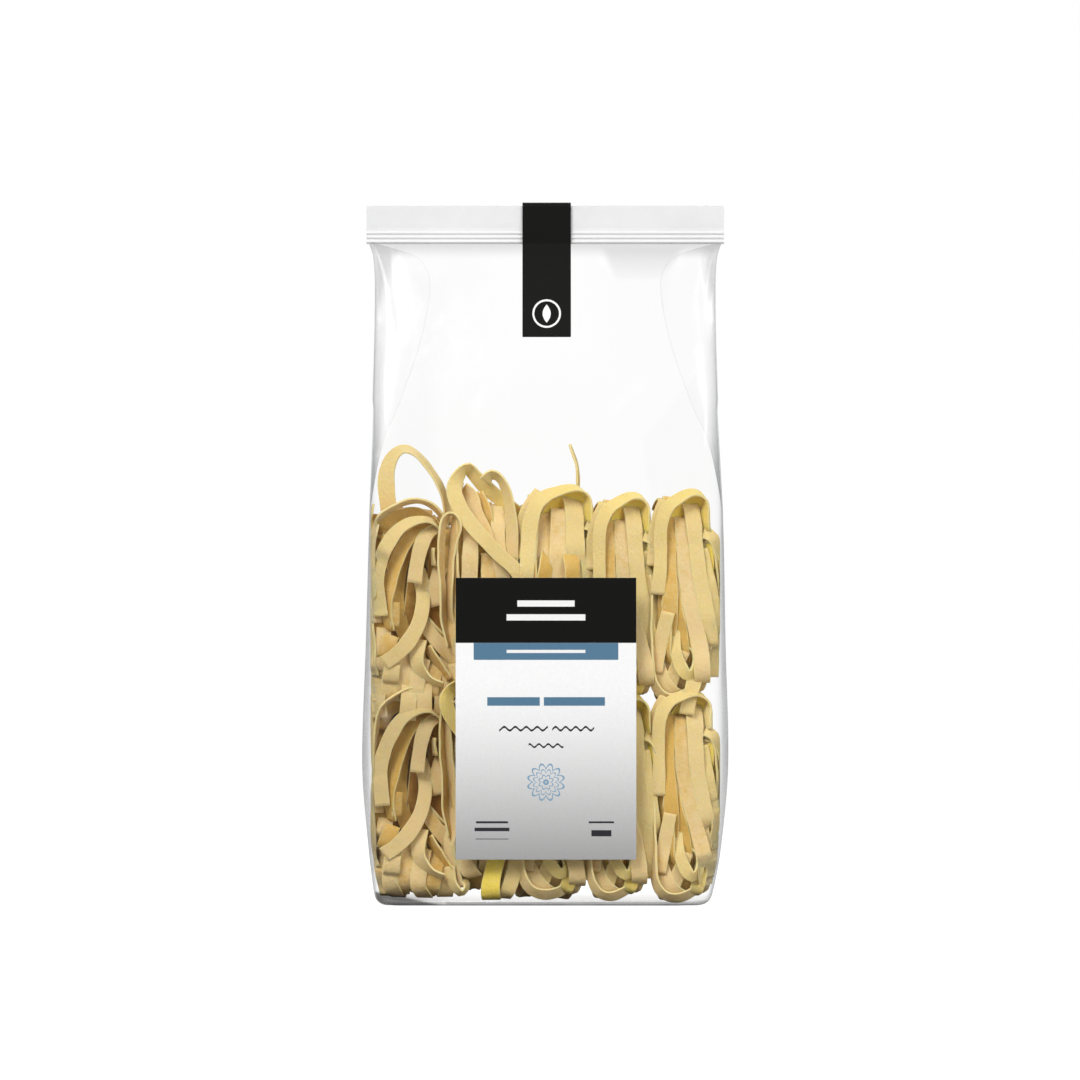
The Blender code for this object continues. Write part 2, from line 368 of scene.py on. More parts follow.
@dataclass(frozen=True)
class FilmFinish:
    """Clear glossy film: it darkens a little where it is seen edge on, and painted shade darkens what shows
    through it under the seal, at its base and over patches at its folds, sides and some nests.
    """

    tint: tuple = (0.996, 0.996, 0.996, 1.0)
    edge_tint: tuple = (0.71, 0.72, 0.72, 1.0)
    # Painted shade: the grey that the film's base darkens to, most at the left corner.
    base_shade_tint: tuple = (0.62, 0.61, 0.60, 1.0)
    # Painted shade: the dark tint that the patches and the wedge darken the film towards.
    painted_shade_tint: tuple = (0.21, 0.205, 0.20, 1.0)
    # Painted shadow of the header, just under the seal.
    header_shadow_tint: tuple = (0.86, 0.86, 0.86, 1.0)
    sheen: tuple = (0.95, 0.95, 0.96, 1.0)
    roughness: float = 0.21
    index: float = 1.45
    gloss: float = 0.60
    seal_height: float = 0.279
    seal_fade: float = 0.008
    calm_fade: float = 0.9
    # A wedge of painted shade along the film's base at the left, under the nests' feet.
    wedge_left: float = -0.0735
    wedge_right: float = -0.040
    wedge_height: float = 0.0060
    wedge_tip: float = 0.0006

    def material(self) -> bpy.types.Material:
        """Build the material.

        Returns:
            The material.
        """
        material, w, shader = new_material("clear_film")
        w.tree.nodes.remove(shader)
        place = w.add("ShaderNodeTexCoord").outputs["Object"]
        x, y, z = w.add("ShaderNodeSeparateXYZ", {0: place}).outputs[:3]
        ripple = w.noise(place, 95.0, 2.0, 0.5)
        bump = w.add("ShaderNodeBump", {"Height": ripple, "Distance": 0.0006, "Strength": 0.5})
        facing = w.add("ShaderNodeLayerWeight", {"Blend": 0.5, "Normal": bump.outputs[0]}).outputs["Facing"]
        calm = w.add("ShaderNodeAttribute", attribute_name="calm").outputs["Fac"]
        open_share = w.math("SUBTRACT", 1.0, w.math("MULTIPLY", calm, self.calm_fade))
        filled = w.ramp(z, 0.10, 0.16, 0.55, 1.0)
        grazing = w.math("MULTIPLY", w.math("POWER", facing, 3.2), w.math("MULTIPLY", open_share, filled))
        clear = w.blend(grazing, self.tint, self.edge_tint)
        # Painted shade: the patches' share, which darkens what shows through the film towards the dark tint.
        painted_fold_shade = w.add("ShaderNodeAttribute", attribute_name="painted_fold_shade").outputs["Fac"]
        # Painted shade: what shows through the film darkens towards its base, most at the left corner, in
        # noisy patches.
        base = w.ramp(z, 0.0056, 0.0020)
        corner = w.ramp(x, -0.036, -0.056, 0.30, 1.0)
        patchy = w.ramp(w.noise(place, 70.0), 0.3, 0.7, 0.6, 1.0)
        clear = w.blend(w.math("MULTIPLY", base, w.math("MULTIPLY", corner, patchy)), clear, self.base_shade_tint)
        clear = w.blend(painted_fold_shade, clear, self.painted_shade_tint)
        # Painted shade: a dark wedge along the front of the film's base at the left, under the nests' feet.
        wedge = w.ramp(x, self.wedge_left, self.wedge_right, self.wedge_height, self.wedge_tip)
        under = w.ramp(w.math("SUBTRACT", z, wedge), 0.0005, -0.0009)
        under = w.math("MULTIPLY", under, w.ramp(y, -0.015, -0.025))
        clear = w.blend(under, clear, self.painted_shade_tint)
        # Painted shadow of the header: the film just under the seal passes less light, so it looks greyer.
        near_seal = w.ramp(z, self.seal_height - self.seal_fade, self.seal_height)
        clear = w.blend(near_seal, clear, self.header_shadow_tint)
        passing = w.add("ShaderNodeBsdfTransparent", {"Color": clear})
        gloss = w.add(
            "ShaderNodeBsdfGlossy",
            {"Color": self.sheen, "Roughness": self.roughness, "Normal": bump.outputs[0]},
        )
        inside = w.add("ShaderNodeNewGeometry").outputs["Backfacing"]
        index = w.ramp(inside, 0.0, 1.0, self.index, 1.0 / self.index)
        fresnel = w.add("ShaderNodeFresnel", {"IOR": index, "Normal": bump.outputs[0]})
        unfolded = w.math("MULTIPLY", open_share, w.math("SUBTRACT", 1.0, under))
        share = w.math("MULTIPLY", fresnel.outputs[0], w.math("MULTIPLY", unfolded, self.gloss), clamp=True)
        mixed = w.add("ShaderNodeMixShader", {0: share, 1: passing.outputs[0], 2: gloss.outputs[0]})
        w.feed(w.tree.nodes["Material Output"].inputs["Surface"], mixed.outputs[0])
        return material


@dataclass(frozen=True)
class HeaderFinish:
    """Film sealed in layers: milky white, and still a little clear."""

    colour: tuple = (0.79, 0.79, 0.79, 1.0)
    shade: tuple = (0.765, 0.765, 0.77, 1.0)
    roughness: float = 0.34
    clear_share: float = 0.16

    def material(self) -> bpy.types.Material:
        """Build the material.

        Returns:
            The material.
        """
        material, w, shader = new_material("sealed_film")
        place = w.add("ShaderNodeTexCoord").outputs["Object"]
        cloud = w.ramp(w.noise(place, 60.0, 3.0, 0.6), 0.35, 0.7)
        w.feed(shader.inputs["Base Color"], w.blend(cloud, self.colour, self.shade))
        weave = w.noise(place, 400.0, 2.0)
        bump = w.add("ShaderNodeBump", {"Height": weave, "Distance": 0.0001, "Strength": 0.4})
        w.feed(shader.inputs["Normal"], bump.outputs[0])
        shader.inputs["Roughness"].default_value = self.roughness
        passing = w.add("ShaderNodeBsdfTransparent")
        mixed = w.add(
            "ShaderNodeMixShader", {0: self.clear_share, 1: shader.outputs[0], 2: passing.outputs[0]}
        )
        w.feed(w.tree.nodes["Material Output"].inputs["Surface"], mixed.outputs[0])
        return material


class Ink(Enum):
    """The inks of the printed pieces."""

    BLACK = (0.0070, 0.0070, 0.0065, 1.0)
    WHITE = (0.80, 0.80, 0.79, 1.0)
    BLUE = (0.088, 0.182, 0.275, 1.0)
    DARK = (0.030, 0.030, 0.035, 1.0)
    PALE_BLUE = (0.200, 0.330, 0.450, 1.0)


@dataclass(frozen=True)
class PrintedShape:
    """One shape of print: which shared group draws it, in what ink and at what sizes."""

    group: str
    ink: Ink
    sizes: dict


@dataclass(frozen=True)
class PrintFinish:
    """Satin printed paper: a ground, and shapes of ink over it in order."""

    name: str
    ground: tuple
    shapes: tuple
    foot_shade: tuple | None = None
    foot: float = 0.0
    head: float = 1.0
    specular: float = 0.05
    roughness: float = 0.42

    def material(self, effects: SharedEffects) -> bpy.types.Material:
        """Build the material.

        Args:
            effects: the shared groups.

        Returns:
            The material.
        """
        material, w, shader = new_material(self.name)
        place = w.add("ShaderNodeTexCoord").outputs["Object"]
        colour = self.ground
        if self.foot_shade is not None:
            up = w.add("ShaderNodeSeparateXYZ", {0: place}).outputs["Z"]
            colour = w.blend(w.ramp(up, self.foot, self.head), self.foot_shade, self.ground)
        for shape in self.shapes:
            group = w.add("ShaderNodeGroup", node_tree=getattr(effects, shape.group))
            w.feed(group.inputs["Position"], place)
            for label, size in shape.sizes.items():
                group.inputs[label].default_value = size
            colour = w.blend(group.outputs[0], colour, shape.ink.value)
        fibre = w.ramp(w.noise(place, 900.0, 2.0), 0.3, 0.7)
        lightness = w.math("ADD", 0.97, w.math("MULTIPLY", fibre, 0.03))
        faded = w.add("ShaderNodeHueSaturation", {"Color": colour, "Value": lightness})
        w.feed(shader.inputs["Base Color"], faded.outputs[0])
        scales = {"Position": place, "Coarse scale": 300.0, "Fine scale": 1800.0, "Fine share": 0.3}
        grain = w.add("ShaderNodeGroup", node_tree=effects.grain)
        for label, value in scales.items():
            w.feed(grain.inputs[label], value)
        bump = w.add("ShaderNodeBump", {"Height": grain.outputs[0], "Distance": 0.00004, "Strength": 0.5})
        w.feed(shader.inputs["Normal"], bump.outputs[0])
        shader.inputs["Roughness"].default_value = self.roughness
        shader.inputs["Specular IOR Level"].default_value = self.specular
        return material


def bar(
    ink: Ink, x: float, z: float, width: float, height: float, wave: float = 0.0, pitch: float = 1.0
) -> PrintedShape:
    """A printed bar, straight or waved, with all its sizes in millimetres.

    Args:
        ink: what it is printed in.
        x: its centre across the bag.
        z: its centre's height.
        width: its whole width.
        height: its whole height.
        wave: how far it swings up and down.
        pitch: the length of one wave.

    Returns:
        The shape.
    """
    sizes = {
        "Centre X": x * MM,
        "Centre Z": z * MM,
        "Half width": width * MM / 2,
        "Half height": height * MM / 2,
        "Wave height": wave * MM,
        "Wave pitch": pitch * MM / (2 * math.pi),
    }
    return PrintedShape("field", ink, sizes)


def ring(
    ink: Ink, x: float, z: float, radius: float, line: float, petals: float = 0.0, depth: float = 0.0
) -> PrintedShape:
    """A printed ring, round or with petals, with all its sizes in millimetres.

    Args:
        ink: what it is printed in.
        x: its centre across the bag.
        z: its centre's height.
        radius: its radius to the middle of the line.
        line: the line's width.
        petals: how many petals it has.
        depth: how far the petals swing in and out.

    Returns:
        The shape.
    """
    sizes = {
        "Centre X": x * MM,
        "Centre Z": z * MM,
        "Radius": radius * MM,
        "Half line": line * MM / 2,
        "Petals": petals,
        "Petal depth": depth * MM,
    }
    return PrintedShape("ring", ink, sizes)


def leaf(ink: Ink, x: float, z: float, width: float, height: float) -> PrintedShape:
    """A printed upright leaf, with all its sizes in millimetres.

    Args:
        ink: what it is printed in.
        x: its centre across the bag.
        z: its centre's height.
        width: its widest part.
        height: its whole height.

    Returns:
        The shape.
    """
    sizes = {
        "Centre X": x * MM,
        "Centre Z": z * MM,
        "Half width": width * MM / 2,
        "Half height": height * MM / 2,
    }
    return PrintedShape("leaf", ink, sizes)


@dataclass
class Print:
    """The label and the closing strip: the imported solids, with their print."""

    middle: float = (LABEL_LOW.x + LABEL_HIGH.x) / 2 / MM
    top: float = LABEL_HIGH.z / MM
    foot: float = LABEL_LOW.z / MM
    width: float = (LABEL_HIGH.x - LABEL_LOW.x) / MM
    dark_height: float = 27.3
    blue_width: float = 60.6
    blue_height: float = 7.1
    rosette_drop: float = 85.6
    left_column: float = -22.6
    right_column: float = 23.2
    shade_from: float = -33.0
    shade_to: float = 80.5
    emblem_rise: float = 9.4

    def label_shapes(self) -> tuple:
        """Every shape of the label's print, from its top down.

        Returns:
            The shapes, each over the one before it.
        """
        x = self.middle
        top = self.top
        blue_middle = top - self.dark_height - self.blue_height / 2
        rosette = top - self.rosette_drop
        left, right = x + self.left_column, x + self.right_column
        return (
            bar(Ink.BLACK, x, top - self.dark_height / 2, self.width + 2.0, self.dark_height),
            bar(Ink.WHITE, x, top - 10.8, 24.0, 2.6),
            bar(Ink.WHITE, x, top - 16.6, 33.0, 2.6),
            bar(Ink.BLUE, x, blue_middle, self.blue_width, self.blue_height),
            bar(Ink.WHITE, x, blue_middle, 33.0, 1.3),
            bar(Ink.BLUE, x - 13.6, top - 51.8, 22.0, 3.6),
            bar(Ink.BLUE, x + 11.9, top - 51.8, 25.6, 3.6),
            bar(Ink.DARK, x - 9.4, top - 63.2, 20.4, 0.95, 0.75, 4.6),
            bar(Ink.DARK, x + 11.4, top - 63.2, 17.6, 0.95, 0.75, 4.2),
            bar(Ink.DARK, x, top - 70.3, 14.6, 0.85, 0.65, 3.9),
            ring(Ink.PALE_BLUE, x, rosette, 6.6, 0.8, 12.0, 2.2),
            ring(Ink.PALE_BLUE, x, rosette, 4.6, 0.5, 12.0, 1.6),
            ring(Ink.PALE_BLUE, x, rosette, 2.6, 0.5, 8.0, 1.0),
            ring(Ink.PALE_BLUE, x, rosette, 0.8, 0.9),
            bar(Ink.DARK, left, top - 102.4, 13.4, 0.9),
            bar(Ink.DARK, left, top - 105.4, 14.6, 1.5),
            bar(Ink.DARK, left, top - 109.4, 13.8, 0.30),
            bar(Ink.DARK, right, top - 102.4, 10.6, 0.8),
            bar(Ink.DARK, right, top - 107.0, 8.4, 2.6),
        )

    def strip_shapes(self) -> tuple:
        """The small emblem at the foot of the closing strip: a leaf in a ring.

        Returns:
            The shapes.
        """
        x = (STRIP_LOW.x + STRIP_HIGH.x) / 2 / MM
        z = STRIP_LOW.z / MM + self.emblem_rise
        return (
            ring(Ink.WHITE, x, z, 5.6, 0.8),
            leaf(Ink.WHITE, x, z, 3.4, 7.6),
        )

    def dress(self, effects: SharedEffects) -> None:
        """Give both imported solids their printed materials.

        Args:
            effects: the shared groups.
        """
        label = PrintFinish(
            "label_print",
            (0.83, 0.83, 0.83, 1.0),
            self.label_shapes(),
            foot_shade=(0.232, 0.232, 0.232, 1.0),
            foot=(self.foot + self.shade_from) * MM,
            head=(self.foot + self.shade_to) * MM,
        )
        strip = PrintFinish("strip_print", Ink.BLACK.value, self.strip_shapes())
        for node, finish in (("front_label", label), ("closing_strip", strip)):
            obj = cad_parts[node]
            obj.data.materials.clear()
            obj.data.materials.append(finish.material(effects))
            log.info("%s: printed with %d shapes", node, len(finish.shapes))


def link(name: str, mesh: bpy.types.Mesh, material: bpy.types.Material) -> bpy.types.Object:
    """Make a finished piece of a mesh, with the body that it rides on and the solid that it replaces.

    Args:
        name: the piece's name.
        mesh: its mesh, in metres and in place.
        material: its material.

    Returns:
        The piece.
    """
    obj = bpy.data.objects.new(name, mesh)
    bpy.context.scene.collection.objects.link(obj)
    mesh.materials.clear()
    mesh.materials.append(material)
    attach(obj, "root")
    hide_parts("bag")
    log.info("%s: %d faces", name, len(mesh.polygons))
    return obj


@dataclass
class Crease:
    """One fold pressed into the film, from a start to an end across its front or back."""

    side: float
    start: tuple
    end: tuple
    width: float
    height: float

    def lift(self, place: np.ndarray, facing: np.ndarray) -> np.ndarray:
        """How far each point of the film moves outwards.

        Args:
            place: points across and up the bag, in millimetres.
            facing: how far each point's normal looks to the crease's side.

        Returns:
            The lift of each point in millimetres.
        """
        start = np.array(self.start)
        along = np.array(self.end) - start
        length = float(np.hypot(*along))
        share = np.clip((place - start) @ along / length**2, 0.0, 1.0)
        away = np.hypot(*(place - start - share[:, None] * along).T) / self.width
        fade = np.sin(np.pi * np.clip(share, 0.02, 0.98)) ** 0.6
        return self.height * fade * np.exp(-np.sqrt(away**2 + 0.04)) * np.clip(facing * self.side, 0.0, 1.0)


@dataclass
class ShadePatch:
    """A patch of painted shade on the film's front, over its folds, sides and base and over some nests, which
    darkens what shows through it. Millimetres.
    """

    corners: tuple
    high_shade: float
    low_shade: float = 0.0
    soft: float = 1.2

    def shade(self, place: np.ndarray) -> np.ndarray:
        """How much painted shade the patch puts on each point.

        Args:
            place: points across and up the bag.

        Returns:
            A share of 0 to 1 for each point.
        """
        corners = np.array(self.corners)
        middle = corners.mean(axis=0)
        inside = np.full(len(place), 1e9)
        for start, end in zip(corners, np.roll(corners, -1, axis=0)):
            along = (end - start) / np.hypot(*(end - start))
            normal = np.array([-along[1], along[0]])
            normal *= np.sign((middle - start) @ normal)
            inside = np.minimum(inside, (place - start) @ normal)
        low, high = corners[:, 1].min(), corners[:, 1].max()
        rise = np.clip((place[:, 1] - low) / (high - low), 0.0, 1.0)
        strength = self.low_shade + (self.high_shade - self.low_shade) * rise
        return strength * np.clip(inside / self.soft, 0.0, 1.0)


@dataclass
class FilmBag:
    """The film below the header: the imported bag's own form, with folds pressed into it."""

    header_foot: float = 0.2785
    subdivisions: int = 2
    sharp_fold: float = math.radians(48.0)
    small_creases: int = 90
    seed: int = 11
    crease_margin: float = 0.010
    gloss_margin: float = 0.024
    head_fade: float = 0.004
    foot_fade: float = 0.003
    tuck_foot: float = 0.15
    # Patches of painted shade over the film's folds, sides and base and over the left nests, in millimetres.
    shade_patches: tuple = (
        ShadePatch(((22.0, 278.5), (61.0, 278.5), (49.0, 261.0), (28.5, 261.0)), 0.34, 0.0, 3.0),
        ShadePatch(((-73.0, 278.5), (-58.0, 278.5), (-64.0, 262.0), (-73.0, 240.0)), 0.34, 0.08, 4.0),
        ShadePatch(((73.5, 278.5), (64.0, 278.5), (66.5, 262.0), (73.0, 238.0)), 0.24, 0.06, 3.0),
        ShadePatch(((-72.5, 246.0), (-65.5, 246.0), (-67.5, 190.0), (-72.5, 190.0)), 0.08, 0.14, 3.0),
        ShadePatch(((73.0, 246.0), (67.0, 246.0), (68.5, 190.0), (73.0, 190.0)), 0.08, 0.06, 2.4),
        ShadePatch(((73.0, 236.0), (74.0, 150.0), (44.0, 150.0), (40.0, 196.0)), 0.03, 0.02, 2.0),
        ShadePatch(((-79.0, 128.0), (-70.5, 150.0), (-69.5, 14.0), (-77.0, 8.0)), 0.12, 0.24, 4.0),
        ShadePatch(((-79.0, 88.0), (-34.0, 92.0), (-38.0, 12.0), (-79.0, 12.0)), 0.26, 0.02, 7.0),
        ShadePatch(((-79.0, 172.0), (-38.0, 166.0), (-36.0, 90.0), (-79.0, 86.0)), 0.05, 0.12, 7.0),
        ShadePatch(((-66.0, 272.0), (-38.0, 264.0), (-44.0, 160.0), (-70.0, 160.0)), 0.05, 0.03, 9.0),
        ShadePatch(((79.0, 128.0), (71.0, 150.0), (70.0, 14.0), (77.0, 8.0)), 0.10, 0.20, 4.0),
        ShadePatch(((-42.0, -1.0), (-42.0, 2.0), (73.0, 2.6), (73.0, -1.0)), 0.45, 0.45, 0.8),
    )

    def creases(self) -> list[Crease]:
        """Every crease: the long ones from the seal and the corners, then small ones by a seeded rule.

        Returns:
            The creases, in millimetres.
        """
        made = [
            Crease(-1.0, (57.0, 277.0), (50.0, 258.0), 4.4, -0.9),
            Crease(-1.0, (17.0, 277.0), (28.0, 262.0), 4.2, -0.8),
            Crease(-1.0, (63.0, 236.0), (20.0, 196.0), 4.5, 1.1),
            Crease(-1.0, (-66.0, 276.0), (-61.0, 240.0), 3.0, -1.4),
            Crease(-1.0, (66.0, 276.0), (68.0, 235.0), 2.6, -1.6),
            Crease(-1.0, (-70.0, 238.0), (-66.0, 186.0), 2.4, 1.0),
            Crease(-1.0, (69.0, 220.0), (66.0, 182.0), 2.4, 1.0),
            Crease(-1.0, (-71.0, 12.0), (-34.0, 3.5), 2.2, 1.2),
            Crease(-1.0, (70.0, 16.0), (42.0, 4.0), 2.2, 1.0),
            Crease(-1.0, (-18.0, 270.0), (-40.0, 262.0), 3.6, -0.9),
            Crease(1.0, (-20.0, 274.0), (-46.0, 214.0), 4.0, 1.2),
            Crease(1.0, (34.0, 274.0), (58.0, 226.0), 3.6, 1.2),
            Crease(1.0, (-60.0, 200.0), (10.0, 188.0), 3.2, 1.0),
        ]
        draw = random.Random(self.seed)
        for _ in range(self.small_creases):
            x, z = draw.uniform(-68.0, 68.0), draw.uniform(4.0, 240.0)
            lean = draw.gauss(math.pi / 2, 0.7)
            reach = draw.uniform(6.0, 22.0)
            end = (x + reach * math.cos(lean), z - reach * math.sin(lean))
            side = draw.choice((-1.0, 1.0))
            made.append(Crease(side, (x, z), end, draw.uniform(1.6, 2.6), draw.uniform(-0.5, 0.6)))
        return made

    def mesh(self) -> bpy.types.Mesh:
        """The film's rough mesh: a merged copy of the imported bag, cut at the header, with its folds marked.

        Returns:
            The mesh, ready to be rounded.
        """
        bm = bmesh.new()
        bm.from_mesh(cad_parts["bag"].data)
        bmesh.ops.remove_doubles(bm, verts=bm.verts, dist=2e-6)
        whole = bm.verts[:] + bm.edges[:] + bm.faces[:]
        cut = Vector((0.0, 0.0, self.header_foot))
        bmesh.ops.bisect_plane(bm, geom=whole, plane_co=cut, plane_no=(0.0, 0.0, 1.0), clear_outer=True)
        bmesh.ops.holes_fill(bm, edges=[e for e in bm.edges if e.is_boundary])
        bmesh.ops.join_triangles(
            bm,
            faces=bm.faces,
            angle_face_threshold=math.radians(25.0),
            angle_shape_threshold=math.radians(50.0),
        )
        crease = bm.edges.layers.float.new("crease_edge")
        for edge in bm.edges:
            if edge.is_manifold and edge.calc_face_angle() > self.sharp_fold:
                edge[crease] = 0.75
        mesh = bpy.data.meshes.new("clear_film")
        bm.to_mesh(mesh)
        bm.free()
        return mesh

    def build(self, finish: FilmFinish) -> bpy.types.Object:
        """Build and dress the film.

        Args:
            finish: the film's finish.

        Returns:
            The film's object.
        """
        rough = bpy.data.objects.new("film_draft", self.mesh())
        bpy.context.scene.collection.objects.link(rough)
        smooth = rough.modifiers.new("round", "SUBSURF")
        smooth.levels = smooth.render_levels = self.subdivisions
        mesh = bpy.data.meshes.new_from_object(rough.evaluated_get(bpy.context.evaluated_depsgraph_get()))
        bpy.data.objects.remove(rough)
        mesh.name = "clear_film"
        self.ease_over_label(mesh)
        count = len(mesh.vertices)
        points, normals = np.empty(count * 3), np.empty(count * 3)
        mesh.vertices.foreach_get("co", points)
        mesh.vertices.foreach_get("normal", normals)
        points, normals = points.reshape(-1, 3), normals.reshape(-1, 3)
        place = points[:, [0, 2]] / MM
        lift = sum(crease.lift(place, normals[:, 1]) for crease in self.creases())
        held = self.under_stickers(points, self.crease_margin)
        top = np.clip((self.header_foot - points[:, 2]) / self.head_fade, 0.0, 1.0)
        foot = np.clip((points[:, 2] - 0.0005) / self.foot_fade, 0.0, 1.0)
        points += normals * (lift * MM * top * foot * (1.0 - held))[:, None]
        low, high = np.array(BAG_LOW), np.array(BAG_HIGH)
        points = np.clip(points, low, high)
        mesh.vertices.foreach_set("co", points.ravel())
        tucked = self.tucked(points, normals)
        # Painted shade: each patch darkens the film's front, and so whatever shows through it.
        shade = np.max([patch.shade(place) for patch in self.shade_patches], axis=0)
        calm = np.maximum(tucked, self.under_stickers(points, self.gloss_margin))
        painted_fold_shade = shade * (normals[:, 1] < 0.0) * (1.0 - tucked)
        for name, values in (("calm", calm), ("painted_fold_shade", painted_fold_shade)):
            mask = mesh.attributes.new(name, "FLOAT", "POINT")
            mask.data.foreach_set("value", values)
        mesh.shade_smooth()
        mesh.update()
        return link("clear_film", mesh, finish.material())

    @staticmethod
    def ease_over_label(mesh: bpy.types.Mesh) -> None:
        """Soften how the film rises from the label's top edge to the nests above it.

        Args:
            mesh: the film's mesh, which is changed.
        """
        rounds = 14
        bm = bmesh.new()
        bm.from_mesh(mesh)
        low, high = LABEL_HIGH.z + 0.001, LABEL_HIGH.z + 0.020
        reach = LABEL_HIGH.x + 0.016
        above = [v for v in bm.verts if v.co.y < 0.0 and low < v.co.z < high and abs(v.co.x) < reach]
        for _ in range(rounds):
            bmesh.ops.smooth_vert(bm, verts=above, factor=0.5, use_axis_y=True)
        bm.to_mesh(mesh)
        bm.free()

    def tucked(self, points: np.ndarray, normals: np.ndarray) -> np.ndarray:
        """Find the film that is tucked in between the front and the back.

        Args:
            points: places on the film.
            normals: which way it faces there.

        Returns:
            1 for film that is tucked in, and 0 for the film outside it.
        """
        slice_height = 0.003
        slices = 111
        level = np.clip((points[:, 2] / slice_height).astype(int), 0, slices - 1)
        edge = np.zeros(slices)
        np.maximum.at(edge, level, np.abs(points[:, 0]))
        inwards = np.clip((edge[level] - np.abs(points[:, 0]) - 0.0015) / 0.003, 0.0, 1.0)
        away = np.clip((0.45 - normals[:, 1] * np.sign(points[:, 1])) * 5.0, 0.0, 1.0)
        return inwards * away * (points[:, 2] > self.tuck_foot)

    @staticmethod
    def under_stickers(points: np.ndarray, margin: float) -> np.ndarray:
        """Find the film that a sticker holds flat.

        Args:
            points: places on the film.
            margin: how far round a sticker its hold fades out.

        Returns:
            1 for film under a sticker, falling to 0 over the margin.
        """
        held = np.zeros(len(points))
        for low, high, both in ((LABEL_LOW, LABEL_HIGH, False), (STRIP_LOW, STRIP_HIGH, True)):
            beside = np.maximum(low.x - points[:, 0], points[:, 0] - high.x)
            above = np.maximum(low.z - points[:, 2], points[:, 2] - high.z)
            near = 1.0 - np.clip(np.maximum(beside, above) / margin, 0.0, 1.0)
            if not both:
                near[points[:, 1] > 0.0] = 0.0
            held = np.maximum(held, near)
        return held


@dataclass
class Walls:
    """How far out the film's front, back and sides lie, measured on a grid. Millimetres."""

    film: bpy.types.Object
    pitch: float = 2.0
    half_across: float = 76.0
    foot: float = 4.0
    top: float = 276.0
    side_depth: float = -12.0
    far_side: float = 0.1
    far_depth: float = 0.09
    usual_depth: float = 30.0
    rows: np.ndarray = field(init=False, repr=False)
    sides: np.ndarray = field(init=False, repr=False)
    depths: dict = field(init=False, repr=False)

    def __post_init__(self) -> None:
        """Measure the film with rays from outside it."""
        data = self.film.data
        corners = [v.co[:] for v in data.vertices]
        tree = BVHTree.FromPolygons(corners, [tuple(f.vertices) for f in data.polygons])
        self.rows = np.arange(self.foot, self.top, self.pitch)
        self.sides = np.full(len(self.rows), self.half_across - 2.0)
        for j, z in enumerate(self.rows):
            for side in (-1.0, 1.0):
                start = Vector((self.far_side * side, self.side_depth * MM, z * MM))
                hit = tree.ray_cast(start, Vector((-side, 0.0, 0.0)))[0]
                if hit is not None:
                    self.sides[j] = min(self.sides[j], abs(hit.x) / MM)
        self.depths = {side: self.innermost(self.reach(tree, side)) for side in (-1.0, 1.0)}

    def reach(self, tree: BVHTree, side: float) -> np.ndarray:
        """Measure how far the film is from the middle, over the whole grid.

        Args:
            tree: the film's faces.
            side: the front (-1) or the back (1).

        Returns:
            The distances, by column and row.
        """
        columns = np.arange(-self.half_across, self.half_across + 0.1, self.pitch)
        found = np.full((len(columns), len(self.rows)), self.usual_depth)
        for i, x in enumerate(columns):
            for j, z in enumerate(self.rows):
                start = Vector((x * MM, self.far_depth * side, z * MM))
                hit = tree.ray_cast(start, Vector((0.0, -side, 0.0)))[0]
                if hit is not None:
                    found[i, j] = abs(hit.y) / MM
        return found

    @staticmethod
    def innermost(found: np.ndarray) -> np.ndarray:
        """Take the least distance of each grid point and the eight round it.

        Args:
            found: the distances, by column and row.

        Returns:
            The least distances.
        """
        wide, tall = found.shape
        padded = np.pad(found, 1, mode="edge")
        shifts = [(a, b) for a in range(3) for b in range(3)]
        return np.min([padded[a : a + wide, b : b + tall] for a, b in shifts], axis=0)

    def side(self, points: np.ndarray) -> np.ndarray:
        """How far the film's sides are from the middle at each point's height."""
        return np.interp(points[:, 2], self.rows, self.sides)

    def depth(self, points: np.ndarray, side: float) -> np.ndarray:
        """How far the film is from the middle at each point's x and z.

        Args:
            points: rows of x, y and z.
            side: the front (-1) or the back (1).

        Returns:
            The distance at each point.
        """
        grid = self.depths[side]
        across = np.clip((points[:, 0] + self.half_across) / self.pitch, 0.0, grid.shape[0] - 1.001)
        up = np.clip((points[:, 2] - self.foot) / self.pitch, 0.0, grid.shape[1] - 1.001)
        i, j = across.astype(int), up.astype(int)
        a, b = across - i, up - j
        low = grid[i, j] * (1.0 - a) + grid[i + 1, j] * a
        high = grid[i, j + 1] * (1.0 - a) + grid[i + 1, j + 1] * a
        return low * (1.0 - b) + high * b


def eased(reach: np.ndarray, limit: np.ndarray, soft: float) -> np.ndarray:
    """Distances that come up to a limit and never pass it, slowing down over the last stretch."""
    over = reach - (limit - soft)
    return np.where(over > 0.0, limit - soft * np.exp(-np.maximum(over, 0.0) / soft), reach)


